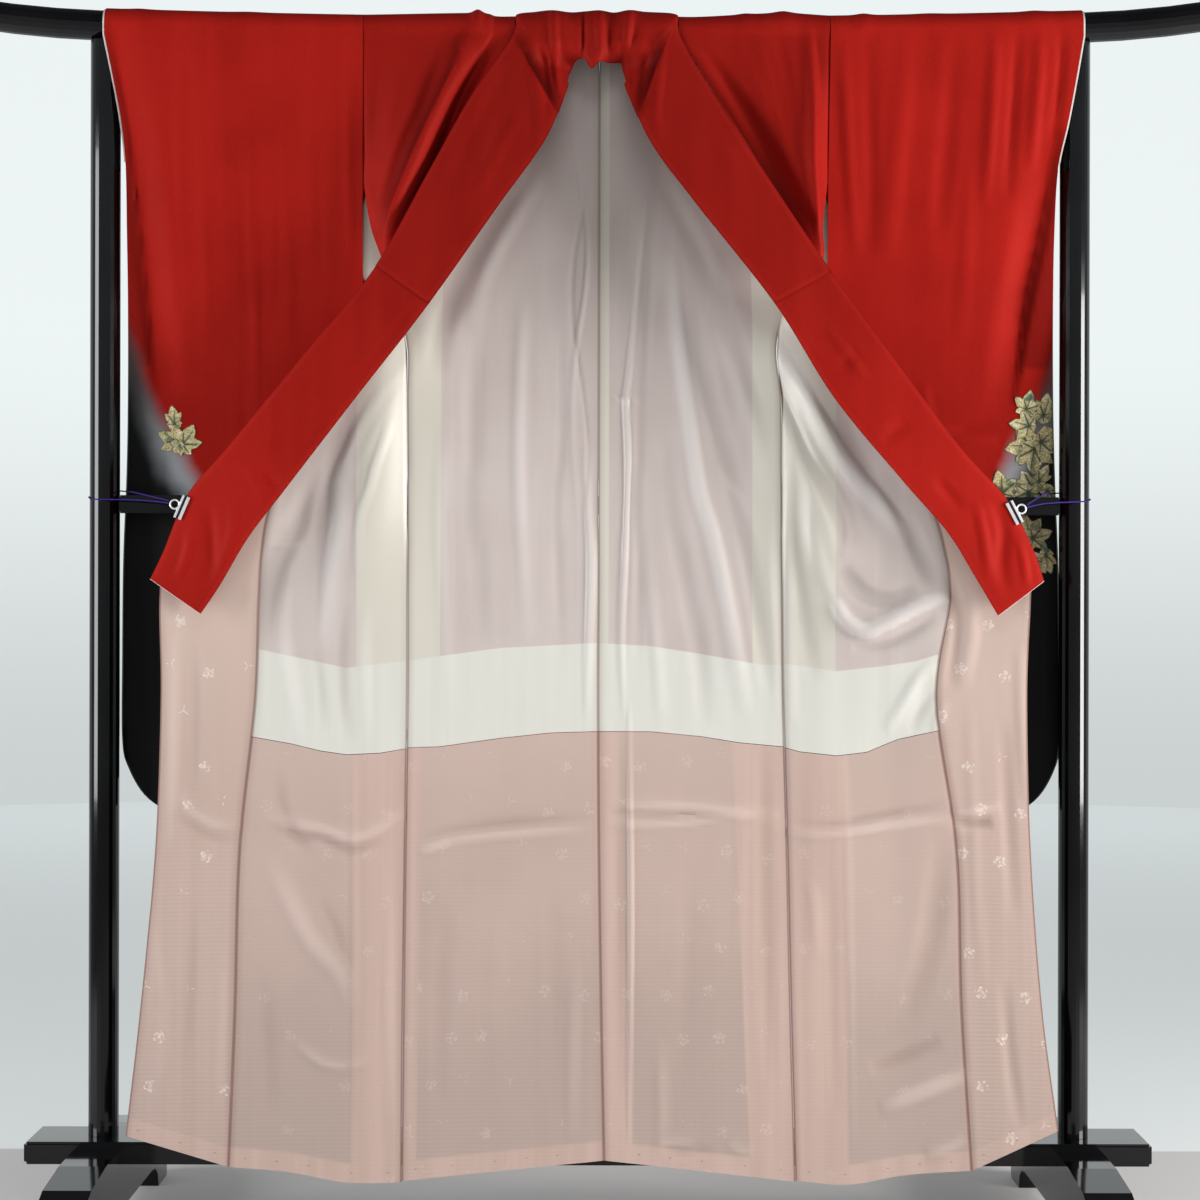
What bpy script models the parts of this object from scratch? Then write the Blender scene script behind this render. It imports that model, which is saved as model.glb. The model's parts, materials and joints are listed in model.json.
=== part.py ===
"""A furisode kimono hung open over a black lacquer kimono stand.

Units are metres and +Z is up. The origin is on the floor under the middle of the stand.
The garment's opened front faces -Y, and left and right are as seen from the front.

The cloth is described in hanging coordinates (x, drop, out). x runs along the bar. drop is the
length of cloth from the top of the bar, positive down the front and negative down the back.
out is how far the middle of the cloth stands off the place where it would just lie on the bar.
"""
import math
from collections import namedtuple

import bmesh
import bpy
from mathutils import Matrix, Vector

# Stand
POST_X = 0.646
POST_RADIUS = 0.020
BAR_RADIUS = 0.020
BAR_HALF_LENGTH = 0.840
BAR_MIDDLE_HEIGHT = 1.594
BAR_RISE_AT_POST = 0.010
BAR_TIP_RISE = 0.012
BOARD_HALF_LENGTH = 0.741
BOARD_HALF_WIDTH = 0.050
BOARD_BOTTOM = 0.0970
BOARD_TOP = 0.1265
BOARD_BEVEL = 0.0035
FOOT_WIDTH = 0.061
FOOT_TOP = 0.115
RAIL_HEIGHT = 0.966
RAIL_HALF_HEIGHT = 0.012
RAIL_HALF_DEPTH = 0.012
RAIL_BEVEL = 0.002
BAR_SIDES = 20
BAR_STATIONS = 28
POST_SIDES = 24

# Cloth
GAP = 0.0003
CLOTH = 0.0010
COLLAR_CLOTH = 0.0020
LINING_STEP = CLOTH + GAP
FACE = BAR_RADIUS + 0.0027
QUARTER = FACE * math.pi / 2
SEAM = 0.0006

# Clips and their elastic cords
JAW_LENGTH = 0.031
JAW_PLATE = 0.0012
JAW_HALF_DEPTH = 0.0068
JAW_INSIDE = 0.005
JAW_OUTSIDE = 0.006
JAW_SPINE = 0.003
JAW_ROUND = 0.002
CLIP_SETBACK = 0.0030
CLIP_SLIDE = 0.0192
CLIP_BAND = 6
RING_RADIUS = 0.0058
RING_WIRE = 0.0012
RING_AROUND = 20
RING_TUBE = 8
CORD_RADIUS = 0.0009
CORD_SPREAD = 0.0016
CORD_WRAP_START = 118
CORD_WRAP_END = 322
CORD_WRAP_STEPS = 9
CORD_WRAP_HEIGHT = 0.972
CORD_WRAP_RISE = 0.0125
CORD_POINTS = 32
# The cord's way from the ring to the post's front, and from the post back over the rail.
CORD_WAY_IN = (.634, -.019, .975)
CORD_WAY_BACK = ((.6155, .0, .9830), (.6020, -.0180, .9810))

RED = (0.300, 0.011, 0.008)
CREAM = (0.700, 0.690, 0.620)
PINK = (0.560, 0.380, 0.310)
LACQUER = (0.005, 0.005, 0.006)
STEEL = (0.750, 0.760, 0.780)
INDIGO = (0.060, 0.020, 0.160)

Level = namedtuple("Level", "side ridge valley seam edge")
BackRow = namedtuple("BackRow", "left right side_y middle_y centre_x side_z centre_z")
SleeveRow = namedtuple("SleeveRow", "z left_outer right_outer front_y back_y")
Band = namedtuple("Band", "outer inner")
Turn = namedtuple("Turn", "x drop free_end")
SidePoint = namedtuple("SidePoint", "y z")
DomeRing = namedtuple("DomeRing", "along size")
Shoulder = namedtuple("Shoulder", "drop lift")

# One half of a foot seen from the side, from the board's notch to the tip, then under the pad
# to the arch between the pads.
FOOT_SIDE = [
    SidePoint(.130, .114),
    SidePoint(.220, .105),
    SidePoint(.292, .078),
    SidePoint(.300, .068),
    SidePoint(.300, .004),
    SidePoint(.296, .000),
    SidePoint(.235, .000),
    SidePoint(.229, .0187),
    SidePoint(.211, .0313),
    SidePoint(.185, .034),
]
# The bar's domed tips: how far each ring lies past the last full one, and its share of the radius.
BAR_DOME = [
    DomeRing(.0040, .985),
    DomeRing(.0080, .90),
    DomeRing(.0105, .70),
    DomeRing(.0120, .38),
]

# Front panels, one row for each level from just under the bar to the hem, as (x, y, z).
# side is the armhole, the slit and the side seam. ridge and valley are the long fold that takes up
# the spare width. seam is the collar seam, and below the sword point the overlap's seam.
# edge is the garment's front edge: the collar seam, then the free edge.
LEFT_FRONT = [
    Level((-.3008, -.0227, 1.588), (-.155, -.0270, 1.588), (-.125, -.0225, 1.588),
          (-.100, -.0227, 1.588), (-.100, -.0227, 1.588)),
    Level((-.3008, -.0234, 1.500), (-.197, -.0460, 1.500), (-.172, -.0260, 1.500),
          (-.156, -.0448, 1.499), (-.156, -.0448, 1.499)),
    Level((-.2996, -.0240, 1.400), (-.234, -.0560, 1.400), (-.204, -.0290, 1.405),
          (-.208, -.0568, 1.402), (-.208, -.0568, 1.402)),
    Level((-.2900, -.0330, 1.335), (-.258, -.0590, 1.333), (-.218, -.0320, 1.338),
          (-.242, -.0650, 1.338), (-.242, -.0650, 1.338)),
    Level((-.2755, -.0300, 1.292), (-.267, -.0420, 1.290), (-.240, -.0490, 1.290),
          (-.268, -.0717, 1.285), (-.268, -.0717, 1.285)),
    Level((-.2575, -.0320, 1.235), (-.260, -.0460, 1.235), (-.272, -.0620, 1.230),
          (-.309, -.0783, 1.222), (-.309, -.0783, 1.222)),
    Level((-.2425, -.0360, 1.175), (-.265, -.0470, 1.172), (-.296, -.0590, 1.168),
          (-.334, -.0790, 1.165), (-.362, -.0852, 1.165)),
    Level((-.2415, -.0360, 1.100), (-.275, -.0540, 1.095), (-.322, -.0580, 1.095),
          (-.362, -.0790, 1.100), (-.413, -.0892, 1.098)),
    Level((-.2403, -.0370, 0.970), (-.290, -.0610, 0.970), (-.352, -.0570, 0.970),
          (-.412, -.0790, 0.970), (-.512, -.0909, 0.973)),
    Level((-.2400, -.0385, 0.905), (-.296, -.0580, 0.905), (-.360, -.0560, 0.905),
          (-.426, -.0750, 0.905), (-.5475, -.0928, 0.900)),
    Level((-.2398, -.0405, 0.840), (-.300, -.0540, 0.840), (-.366, -.0570, 0.840),
          (-.431, -.0710, 0.839), (-.556, -.0925, 0.838)),
    Level((-.2392, -.0455, 0.710), (-.300, -.0530, 0.710), (-.370, -.0590, 0.710),
          (-.435, -.0680, 0.709), (-.556, -.0820, 0.709)),
    Level((-.2410, -.0530, 0.513), (-.305, -.0600, 0.513), (-.380, -.0610, 0.513),
          (-.455, -.0680, 0.513), (-.563, -.0800, 0.514)),
    Level((-.2425, -.0610, 0.300), (-.310, -.0640, 0.300), (-.385, -.0660, 0.300),
          (-.460, -.0740, 0.300), (-.581, -.0840, 0.310)),
    Level((-.2435, -.0680, 0.0795), (-.315, -.0710, 0.080), (-.390, -.0730, 0.094),
          (-.467, -.0790, 0.102), (-.599, -.0880, 0.144)),
]
RIGHT_FRONT = [
    Level((.3174, -.0227, 1.588), (.250, -.0240, 1.588), (.150, -.0225, 1.588),
          (.117, -.0227, 1.588), (.117, -.0227, 1.588)),
    Level((.3160, -.0234, 1.500), (.285, -.0360, 1.500), (.196, -.0280, 1.500),
          (.167, -.0446, 1.500), (.167, -.0446, 1.500)),
    Level((.3142, -.0240, 1.400), (.292, -.0480, 1.400), (.238, -.0340, 1.400),
          (.226, -.0568, 1.402), (.226, -.0568, 1.402)),
    Level((.3070, -.0320, 1.335), (.297, -.0520, 1.334), (.262, -.0420, 1.337),
          (.266, -.0645, 1.336), (.266, -.0645, 1.336)),
    Level((.3065, -.0300, 1.288), (.303, -.0420, 1.286), (.284, -.0510, 1.286),
          (.300, -.0712, 1.285), (.300, -.0712, 1.285)),
    Level((.2620, -.0320, 1.240), (.268, -.0460, 1.237), (.291, -.0620, 1.232),
          (.334, -.0778, 1.230), (.334, -.0778, 1.230)),
    Level((.2475, -.0360, 1.175), (.278, -.0480, 1.172), (.314, -.0600, 1.168),
          (.352, -.0790, 1.167), (.384, -.0850, 1.167)),
    Level((.2535, -.0360, 1.100), (.292, -.0540, 1.095), (.338, -.0590, 1.095),
          (.385, -.0790, 1.100), (.427, -.0890, 1.100)),
    Level((.2545, -.0370, 0.970), (.308, -.0640, 0.970), (.375, -.0600, 0.970),
          (.442, -.0790, 0.971), (.531, -.0909, 0.974)),
    Level((.2550, -.0385, 0.905), (.315, -.0610, 0.905), (.388, -.0620, 0.905),
          (.463, -.0750, 0.905), (.5715, -.0928, 0.905)),
    Level((.2555, -.0405, 0.840), (.320, -.0560, 0.840), (.396, -.0640, 0.840),
          (.470, -.0710, 0.841), (.572, -.0925, 0.838)),
    Level((.2560, -.0455, 0.710), (.315, -.0540, 0.710), (.385, -.0600, 0.710),
          (.453, -.0680, 0.711), (.569, -.0820, 0.711)),
    Level((.2610, -.0530, 0.513), (.325, -.0600, 0.513), (.400, -.0610, 0.513),
          (.480, -.0680, 0.515), (.575, -.0800, 0.515)),
    Level((.2655, -.0610, 0.300), (.335, -.0640, 0.300), (.410, -.0660, 0.300),
          (.486, -.0730, 0.310), (.589, -.0840, 0.315)),
    Level((.2715, -.0680, 0.083), (.340, -.0710, 0.079), (.415, -.0730, 0.092),
          (.499, -.0790, 0.099), (.610, -.0880, 0.153)),
]
SWORD_POINT = 5

# Back panels, one row for each height: the side edges, their y, the y near the centre seam,
# the centre seam's x, and the heights at the side and at the centre.
BACK = [
    BackRow(-.3008, .3174, .0227, .0227, .012, 1.588, 1.588),
    BackRow(-.3008, .3160, .0230, .0230, .012, 1.500, 1.500),
    BackRow(-.3008, .3142, .0230, .0230, .012, 1.400, 1.400),
    BackRow(-.2910, .3020, .0140, .0190, .012, 1.330, 1.330),
    BackRow(-.2680, .2720, -.0060, .0130, .012, 1.260, 1.260),
    BackRow(-.2416, .2466, -.0360, .0050, .012, 1.180, 1.180),
    BackRow(-.2406, .2526, -.0360, -.0030, .012, 1.100, 1.100),
    BackRow(-.2394, .2536, -.0370, -.0140, .012, 0.970, 0.970),
    BackRow(-.2389, .2546, -.0405, -.0230, .012, 0.840, 0.840),
    BackRow(-.2383, .2551, -.0455, -.0340, .012, 0.710, 0.710),
    BackRow(-.2401, .2601, -.0530, -.0450, .0135, 0.513, 0.513),
    BackRow(-.2416, .2646, -.0610, -.0540, .017, 0.300, 0.300),
    BackRow(-.2426, .2706, -.0680, -.0610, .021, 0.0815, 0.107),
]
# The drop, down the back, at which the neck is cut, and the neck's half widths.
NECK_DROP = -.008
NECK_LEFT_X = -.100
NECK_RIGHT_X = .117
# Rows over the bar to the front: their drops, and how far the long fold lifts there.
SHOULDER_ROWS = [
    Shoulder(-.004, .000),
    Shoulder(.006, .004),
    Shoulder(.017, .005),
    Shoulder(.027, .005),
]
BACK_TOP_DROPS = (-.027, -.018, NECK_DROP)

# Sleeves, one row for each height: the outer edges, and the y of the front and back layers.
SLEEVE = [
    SleeveRow(1.588, -.6440, .6530, -.0227, .0227),
    SleeveRow(1.530, -.6320, .6430, -.0232, .0230),
    SleeveRow(1.472, -.6210, .6320, -.0238, .0230),
    SleeveRow(1.412, -.6150, .6190, -.0240, .0230),
    SleeveRow(1.330, -.6135, .6150, -.0200, .0240),
    SleeveRow(1.240, -.6135, .6150, -.0100, .0260),
    SleeveRow(1.120, -.6160, .6180, .0080, .0300),
    SleeveRow(1.010, -.6190, .6220, .0180, .0330),
    SleeveRow(0.890, -.6235, .6270, .0190, .0330),
    SleeveRow(0.760, -.6245, .6290, .0190, .0320),
    SleeveRow(0.650, -.6240, .6290, .0190, .0310),
    SleeveRow(0.612, -.6150, .6215, .0190, .0310),
    SleeveRow(0.576, -.5930, .6000, .0190, .0300),
    SleeveRow(0.555, -.5600, .5680, .0190, .0300),
    SleeveRow(0.546, -.5150, .5230, .0190, .0300),
]
WRIST_ROW = 3
# Rows of a sleeve's wall, closer together round the lower corner.
SLEEVE_POSITIONS = [0, 1, 2, WRIST_ROW, 4, 5, 6, 7, 8, 9, 10, 10.5, 11, 11.5, 12, 12.5, 13, 14]
OVER_BAR_DROPS = (-QUARTER, -.027, -.018, -.009, 0.0, .009, .018, .027, QUARTER)
SLEEVE_LEFT_INNER = -.3013
SLEEVE_RIGHT_INNER = .3182
SLEEVE_RIGHT_TAPER = .0032
ARMHOLE_BOTTOM = 1.400
WRIST_LINING_POSITIONS = (0, 1, 2, 2.9)
WRIST_LINING_WIDTH = .030
WRIST_LINING_PROUD = .0022

# The collar band below the neck: its sewn outer edge and its free inner edge, as (x, y, z).
LEFT_BAND = [
    Band((-.103, -.0264, 1.585), (-.032, -.0450, 1.513)),
    Band((-.158, -.0470, 1.499), (-.058, -.0620, 1.443)),
    Band((-.210, -.0590, 1.402), (-.118, -.0760, 1.355)),
    Band((-.280, -.0755, 1.272), (-.210, -.0930, 1.221)),
    Band((-.366, -.0890, 1.163), (-.297, -.1000, 1.107)),
    Band((-.467, -.0960, 1.038), (-.396, -.1050, 0.977)),
    Band((-.519, -.0945, 0.976), (-.440, -.1050, 0.919)),
    Band((-.551, -.0965, 0.900), (-.476, -.1040, 0.858)),
    Band((-.567, -.0985, 0.866), (-.501, -.1030, 0.821)),
]
RIGHT_BAND = [
    Band((.120, -.0264, 1.582), (.049, -.0450, 1.512)),
    Band((.173, -.0470, 1.488), (.079, -.0640, 1.439)),
    Band((.224, -.0590, 1.406), (.136, -.0780, 1.359)),
    Band((.315, -.0755, 1.267), (.240, -.0940, 1.224)),
    Band((.387, -.0890, 1.165), (.317, -.1000, 1.101)),
    Band((.479, -.0960, 1.040), (.405, -.1050, 0.994)),
    Band((.541, -.0945, 0.971), (.462, -.1050, 0.929)),
    Band((.575, -.0965, 0.905), (.500, -.1040, 0.868)),
    Band((.588, -.0985, 0.866), (.528, -.1030, 0.821)),
]
COVER_BAND = 3
# The collar round the neck: where its sections cross the bar, how it waves where it is gathered,
# how far it stands off the garment's edge there, and how far its free edge hangs inside.
LEFT_TURNS = [
    Turn(-.098, .012, (-.031, -.040, 1.527)),
    Turn(-.086, -.006, (-.028, -.034, 1.541)),
]
RIGHT_TURNS = [
    Turn(.104, -.006, (.045, -.034, 1.541)),
    Turn(.115, .012, (.048, -.040, 1.527)),
]
NECK_SECTIONS_X = (-.058, -.030, -.009, .012, .033, .056, .078)
NECK_NARROWING = .45
NECK_GATHER = .004
GATHER_PITCH = .056
GATHER_CREST_X = .005
COLLAR_OUT = .0030
COLLAR_OVERLAP = .003
NECK_FREE_DROP = .073
NECK_TOP_DROPS = (.010, .034)
SECTION_SHARES = (0.0, .2, .5, 1.0)

# Rows of the panels' walls, as positions counted in rows of the tables above. The cream linings
# meet the pink ones at the two positions named for the change.
BACK_LINING_CHANGE = 9.3
BACK_POSITIONS = [0, 1, 2, 2.5, 3, 3.5, 4, 4.5, 5, 5.5, 6, 7, 8, 9, BACK_LINING_CHANGE, 10, 11, 12]
FRONT_LINING_TOP = 5
FRONT_LINING_CHANGE = 11.36
FRONT_POSITIONS = [k / 2 for k in range(19)] + [10, 11, FRONT_LINING_CHANGE, 12, 13, 14]

BODY_COLUMNS = 11
OKUMI_COLUMNS = 6
SLEEVE_COLUMNS = 5
COLLAR_COLUMNS = 7


def clear_scene():
    for item in list(bpy.data.objects):
        bpy.data.objects.remove(item, do_unlink=True)


def make_material(name, colour, roughness, metallic=0.0):
    material = bpy.data.materials.new(name)
    material.use_nodes = True
    shader = material.node_tree.nodes["Principled BSDF"]
    shader.inputs["Base Color"].default_value = (*colour, 1.0)
    shader.inputs["Roughness"].default_value = roughness
    shader.inputs["Metallic"].default_value = metallic
    return material


def add_object(name, mesh, material):
    item = bpy.data.objects.new(name, mesh)
    item.data.materials.append(material)
    bpy.context.scene.collection.objects.link(item)
    return item


def mesh_from(name, points, faces):
    mesh = bpy.data.meshes.new(name)
    mesh.from_pydata([tuple(p) for p in points], [], faces)
    mesh.validate()
    return mesh


def finish_bmesh(name, work, material):
    bmesh.ops.recalc_face_normals(work, faces=work.faces)
    mesh = bpy.data.meshes.new(name)
    work.to_mesh(mesh)
    work.free()
    return add_object(name, mesh, material)


def bar_height(x):
    """Height of the bar's centre line: a slight sag, and tips that curl up past the posts."""
    beyond = max(0.0, abs(x) - POST_X) / (BAR_HALF_LENGTH - POST_X)
    return BAR_MIDDLE_HEIGHT + BAR_RISE_AT_POST * (x / POST_X) ** 2 + BAR_TIP_RISE * beyond ** 2


def hang(x, drop, out):
    """The point at (x, drop, out) of cloth that hangs over the bar."""
    height = bar_height(x)
    reach = FACE + out
    if abs(drop) <= QUARTER:
        angle = drop / FACE
        return Vector((x, -reach * math.sin(angle), height + reach * math.cos(angle)))
    side = math.copysign(1.0, drop)
    return Vector((x, -side * reach, height - (abs(drop) - QUARTER)))


def front_point(point):
    """Hanging coordinates of a point (x, y, z) below the bar, on the front side."""
    x, y, z = point
    return Vector((x, QUARTER + bar_height(x) - z, -y - FACE))


def back_point(x, y, z):
    """Hanging coordinates of a point (x, y, z) below the bar, on the back side."""
    return Vector((x, -(QUARTER + bar_height(x) - z), y - FACE))


def blend(first, second, share):
    return first + (second - first) * share


def curve_point(points, position):
    """A smooth curve through points, at a position counted in points."""
    last = len(points) - 1
    index = min(max(int(math.floor(position)), 0), last - 1)
    share = position - index
    start, end = points[index], points[index + 1]
    before = points[index - 1] if index > 0 else start * 2 - end
    after = points[index + 2] if index + 2 <= last else end * 2 - start
    leave = (end - before) * 0.5
    arrive = (after - start) * 0.5
    square, cube = share * share, share ** 3
    return (start * (2 * cube - 3 * square + 1) + leave * (cube - 2 * square + share)
            + end * (3 * square - 2 * cube) + arrive * (cube - square))


def spread(points, count):
    """count points spread evenly in position along the smooth curve through points."""
    last = len(points) - 1
    return [curve_point(points, last * step / (count - 1)) for step in range(count)]


def grid_normals(grid):
    """A unit normal at each point of a grid, from the points before and after it."""
    rows, columns = len(grid), len(grid[0])
    normals = []
    for i in range(rows):
        line = []
        for j in range(columns):
            along = grid[min(i + 1, rows - 1)][j] - grid[max(i - 1, 0)][j]
            across = grid[i][min(j + 1, columns - 1)] - grid[i][max(j - 1, 0)]
            line.append(along.cross(across).normalized())
        normals.append(line)
    return normals


def moved(grid, distance):
    """The grid moved along its normals."""
    normals = grid_normals(grid)
    return [[point + normal * distance for point, normal in zip(row, line)]
            for row, line in zip(grid, normals)]


def grid_faces(rows, columns, start=0):
    faces = []
    for i in range(rows - 1):
        for j in range(columns - 1):
            corner = start + i * columns + j
            faces.append((corner, corner + 1, corner + columns + 1, corner + columns))
    return faces


def cloth_wall(name, grid, thickness, material):
    """A closed wall of cloth, half of its thickness on each side of a grid of points."""
    points = [point for row in grid for point in row]
    mesh = mesh_from(name, points, grid_faces(len(grid), len(grid[0])))
    item = add_object(name, mesh, material)
    solidify = item.modifiers.new("Thickness", "SOLIDIFY")
    solidify.thickness = thickness
    solidify.offset = 0.0
    return item


def front_row(levels, position):
    """One row of a front panel, from its side edge to its seam, in hanging coordinates."""
    guides = [curve_point([front_point(getattr(level, name)) for level in levels], position)
              for name in ("side", "ridge", "valley", "seam")]
    return spread(guides, BODY_COLUMNS)


def shoulder_rows(levels, neck_x):
    """Rows over the bar, from the back of the neck to just above the front's first level."""
    side_x = levels[0].side[0]
    top_ridge = front_point(levels[0].ridge)
    rows = []
    for row in SHOULDER_ROWS:
        ridge = Vector((top_ridge.x, row.drop, row.lift))
        valley = Vector((levels[0].valley[0], row.drop, 0.0))
        side_edge = Vector((side_x, row.drop, 0.0))
        neck_edge = Vector((neck_x, row.drop, 0.0))
        rows.append(spread([side_edge, ridge, valley, neck_edge], BODY_COLUMNS))
    return rows


def back_row(position, side):
    """One row of a back panel, from its side edge to the centre seam."""
    def value(name):
        return curve_point([getattr(row, name) for row in BACK], position)
    side_x = value("left") if side < 0 else value("right")
    centre_x = value("centre_x") + side * GAP / 2
    row = []
    for step in range(BODY_COLUMNS):
        share = step / (BODY_COLUMNS - 1)
        x = side_x + (centre_x - side_x) * share
        y = value("middle_y") + (value("side_y") - value("middle_y")) * (1 - share) ** 2
        z = value("side_z") + (value("centre_z") - value("side_z")) * share
        row.append(back_point(x, y, z))
    return row


def over_back_rows(side):
    """Rows of a back panel round the back of the bar, up to the neck."""
    side_x = BACK[0].left if side < 0 else BACK[0].right
    centre_x = BACK[0].centre_x + side * GAP / 2
    rows = []
    for drop in BACK_TOP_DROPS:
        rows.append([Vector((side_x + (centre_x - side_x) * step / (BODY_COLUMNS - 1), drop, 0.0))
                     for step in range(BODY_COLUMNS)])
    return rows


def in_space(rows):
    return [[hang(*point) for point in row] for row in rows]


def make_body(side, suffix, levels, neck_x, outer, cream, pink):
    """Back and front of one side, cut in one length with the shoulder, and their linings."""
    rows = [back_row(position, side) for position in reversed(BACK_POSITIONS)]
    rows += over_back_rows(side)
    lined_top = len(rows) - 1
    rows += shoulder_rows(levels, neck_x)
    front_start = len(rows)
    rows += [front_row(levels, position) for position in FRONT_POSITIONS]
    grid = in_space(rows)
    cloth_wall("body_" + suffix, grid, CLOTH, outer)
    skin = moved(grid, side * LINING_STEP)
    back_change = len(BACK_POSITIONS) - 1 - BACK_POSITIONS.index(BACK_LINING_CHANGE)
    front_change = front_start + FRONT_POSITIONS.index(FRONT_LINING_CHANGE)
    front_top = front_start + FRONT_POSITIONS.index(FRONT_LINING_TOP)
    parts = (("back_lining_", back_change, lined_top, cream),
             ("back_hakkake_", 0, back_change, pink),
             ("front_lining_", front_top, front_change, cream),
             ("front_hakkake_", front_change, len(skin) - 1, pink))
    for name, first, last, material in parts:
        piece = trimmed(skin[first:last + 1], name.endswith("hakkake_"))
        cloth_wall(name + suffix, piece, CLOTH, material)


def trimmed(rows, is_hakkake):
    """The rows, held back from the cream lining's edge by a seam's gap where they are pink."""
    if not is_hakkake:
        return rows
    rows = [list(row) for row in rows]
    upper, below = (0, 1) if rows[0][0].z > rows[-1][0].z else (-1, -2)
    rows[upper] = [point + (under - point).normalized() * GAP
                   for point, under in zip(rows[upper], rows[below])]
    return rows


def okumi_rows(levels, side):
    """Rows of the overlap, from its seam with the front to the garment's front edge."""
    seam = [front_point(level.seam) for level in levels]
    edge = [front_point(level.edge) for level in levels]
    rows = []
    for position in FRONT_POSITIONS:
        if position <= SWORD_POINT:
            continue
        start = curve_point(seam, position) + Vector((side * SEAM, 0.0, 0.0))
        end = curve_point(edge, position)
        rows.append([blend(start, end, j / (OKUMI_COLUMNS - 1)) for j in range(OKUMI_COLUMNS)])
    return rows


def make_okumi(side, suffix, levels, outer, pink):
    grid = in_space(okumi_rows(levels, side))
    cloth_wall("okumi_" + suffix, grid, CLOTH, outer)
    cloth_wall("okumi_hakkake_" + suffix, moved(grid, side * LINING_STEP), CLOTH, pink)


def band_section(band):
    outer = front_point(band.outer)
    inner = front_point(band.inner)
    return [blend(outer, inner, share) for share in (0.0, 1 / 3, 2 / 3, 1.0)]


def neck_section(x):
    """A section of the collar over the bar at the back of the neck, gathered into soft waves."""
    wave = math.cos(2 * math.pi * (x - GATHER_CREST_X) / GATHER_PITCH)
    lift = COLLAR_OUT + CLOTH + NECK_GATHER * (1 + wave) / 2
    free_lift = COLLAR_OUT + COLLAR_CLOTH + NECK_GATHER * wave / 2
    free_x = BACK[0].centre_x + (x - BACK[0].centre_x) * NECK_NARROWING
    drops = (NECK_DROP - COLLAR_OVERLAP, *NECK_TOP_DROPS, NECK_FREE_DROP)
    lifts = (COLLAR_OUT, lift, lift, free_lift)
    return [Vector((blend(x, free_x, share), drop, out))
            for share, drop, out in zip(SECTION_SHARES, drops, lifts)]


def turn_section(turn):
    """A section where the collar comes over the bar to the front."""
    outer = Vector((turn.x, turn.drop, COLLAR_OUT))
    inner = front_point(turn.free_end)
    return [blend(outer, inner, share) for share in SECTION_SHARES]


def collar_sections():
    """Sections of the collar from its left end, round the neck, to its right end."""
    sections = [band_section(band) for band in reversed(LEFT_BAND)]
    sections += [turn_section(turn) for turn in LEFT_TURNS]
    sections += [neck_section(x) for x in NECK_SECTIONS_X]
    sections += [turn_section(turn) for turn in RIGHT_TURNS]
    sections += [band_section(band) for band in RIGHT_BAND]
    return sections


def make_collar(outer):
    """The collar band, and the short cover sewn over its middle length."""
    sections = [spread(section, COLLAR_COLUMNS) for section in collar_sections()]
    lines = [[section[j] for section in sections] for j in range(COLLAR_COLUMNS)]
    grid = in_space([[curve_point(line, k / 2) for line in lines]
                     for k in range(2 * len(sections) - 1)])
    cloth_wall("collar", grid, COLLAR_CLOTH, outer)
    end = 2 * (len(LEFT_BAND) - 1 - COVER_BAND)
    cover = moved(grid, -(COLLAR_CLOTH / 2 + GAP + CLOTH / 2))[end:len(grid) - end]
    cloth_wall("collar_cover", cover, CLOTH, outer)


def sleeve_inner_x(side, z):
    if side < 0:
        return SLEEVE_LEFT_INNER
    share = min(max((BACK[0].side_z - z) / (BACK[0].side_z - ARMHOLE_BOTTOM), 0.0), 1.0)
    return SLEEVE_RIGHT_INNER - SLEEVE_RIGHT_TAPER * share


def sleeve_value(name, position):
    return curve_point([getattr(row, name) for row in SLEEVE], position)


def sleeve_edges(side, position):
    z = sleeve_value("z", position)
    outer = sleeve_value("left_outer" if side < 0 else "right_outer", position)
    return z, sleeve_inner_x(side, z), outer


def sleeve_row(side, position, front):
    """One row of a sleeve's front or back layer, from the armhole to the outer edge."""
    z, inner, outer = sleeve_edges(side, position)
    y = sleeve_value("front_y" if front else "back_y", position)
    row = []
    for step in range(SLEEVE_COLUMNS):
        x = inner + (outer - inner) * step / (SLEEVE_COLUMNS - 1)
        row.append(front_point((x, y, z)) if front else back_point(x, y, z))
    return row


def over_bar_row(side, drop):
    """One row of a sleeve over the bar, as wide as the first row of its table."""
    inner, outer = sleeve_edges(side, 0)[1:]
    return [Vector((inner + (outer - inner) * step / (SLEEVE_COLUMNS - 1), drop, 0.0))
            for step in range(SLEEVE_COLUMNS)]


def sleeve_rows(side, positions):
    """A sleeve's rows up its back, over the bar and down its front."""
    back = [sleeve_row(side, position, False) for position in reversed(positions)]
    top = [over_bar_row(side, drop) for drop in OVER_BAR_DROPS]
    front = [sleeve_row(side, position, True) for position in positions]
    return back + top + front


def make_sleeve(side, name, material):
    """A sleeve: one length over the bar, joined at the foot and below the wrist opening."""
    rows = in_space(sleeve_rows(side, SLEEVE_POSITIONS))
    joined = len(SLEEVE_POSITIONS) - 1 - SLEEVE_POSITIONS.index(WRIST_ROW)
    columns = SLEEVE_COLUMNS
    points = [point for row in rows for point in row]
    faces = grid_faces(len(rows), columns)
    foot = (len(rows) - 1) * columns
    for j in range(columns - 1):
        faces.append((foot + j, foot + j + 1, j + 1, j))
    for k in range(joined):
        low_back, high_back = k * columns, (k + 1) * columns
        low_front, high_front = foot - k * columns, foot - (k + 1) * columns
        outer = columns - 1
        faces.append((low_back + outer, low_front + outer, high_front + outer, high_back + outer))
    mesh = mesh_from(name, points, faces)
    item = add_object(name, mesh, material)
    solidify = item.modifiers.new("Thickness", "SOLIDIFY")
    solidify.thickness = CLOTH
    solidify.offset = 0.0


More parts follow.
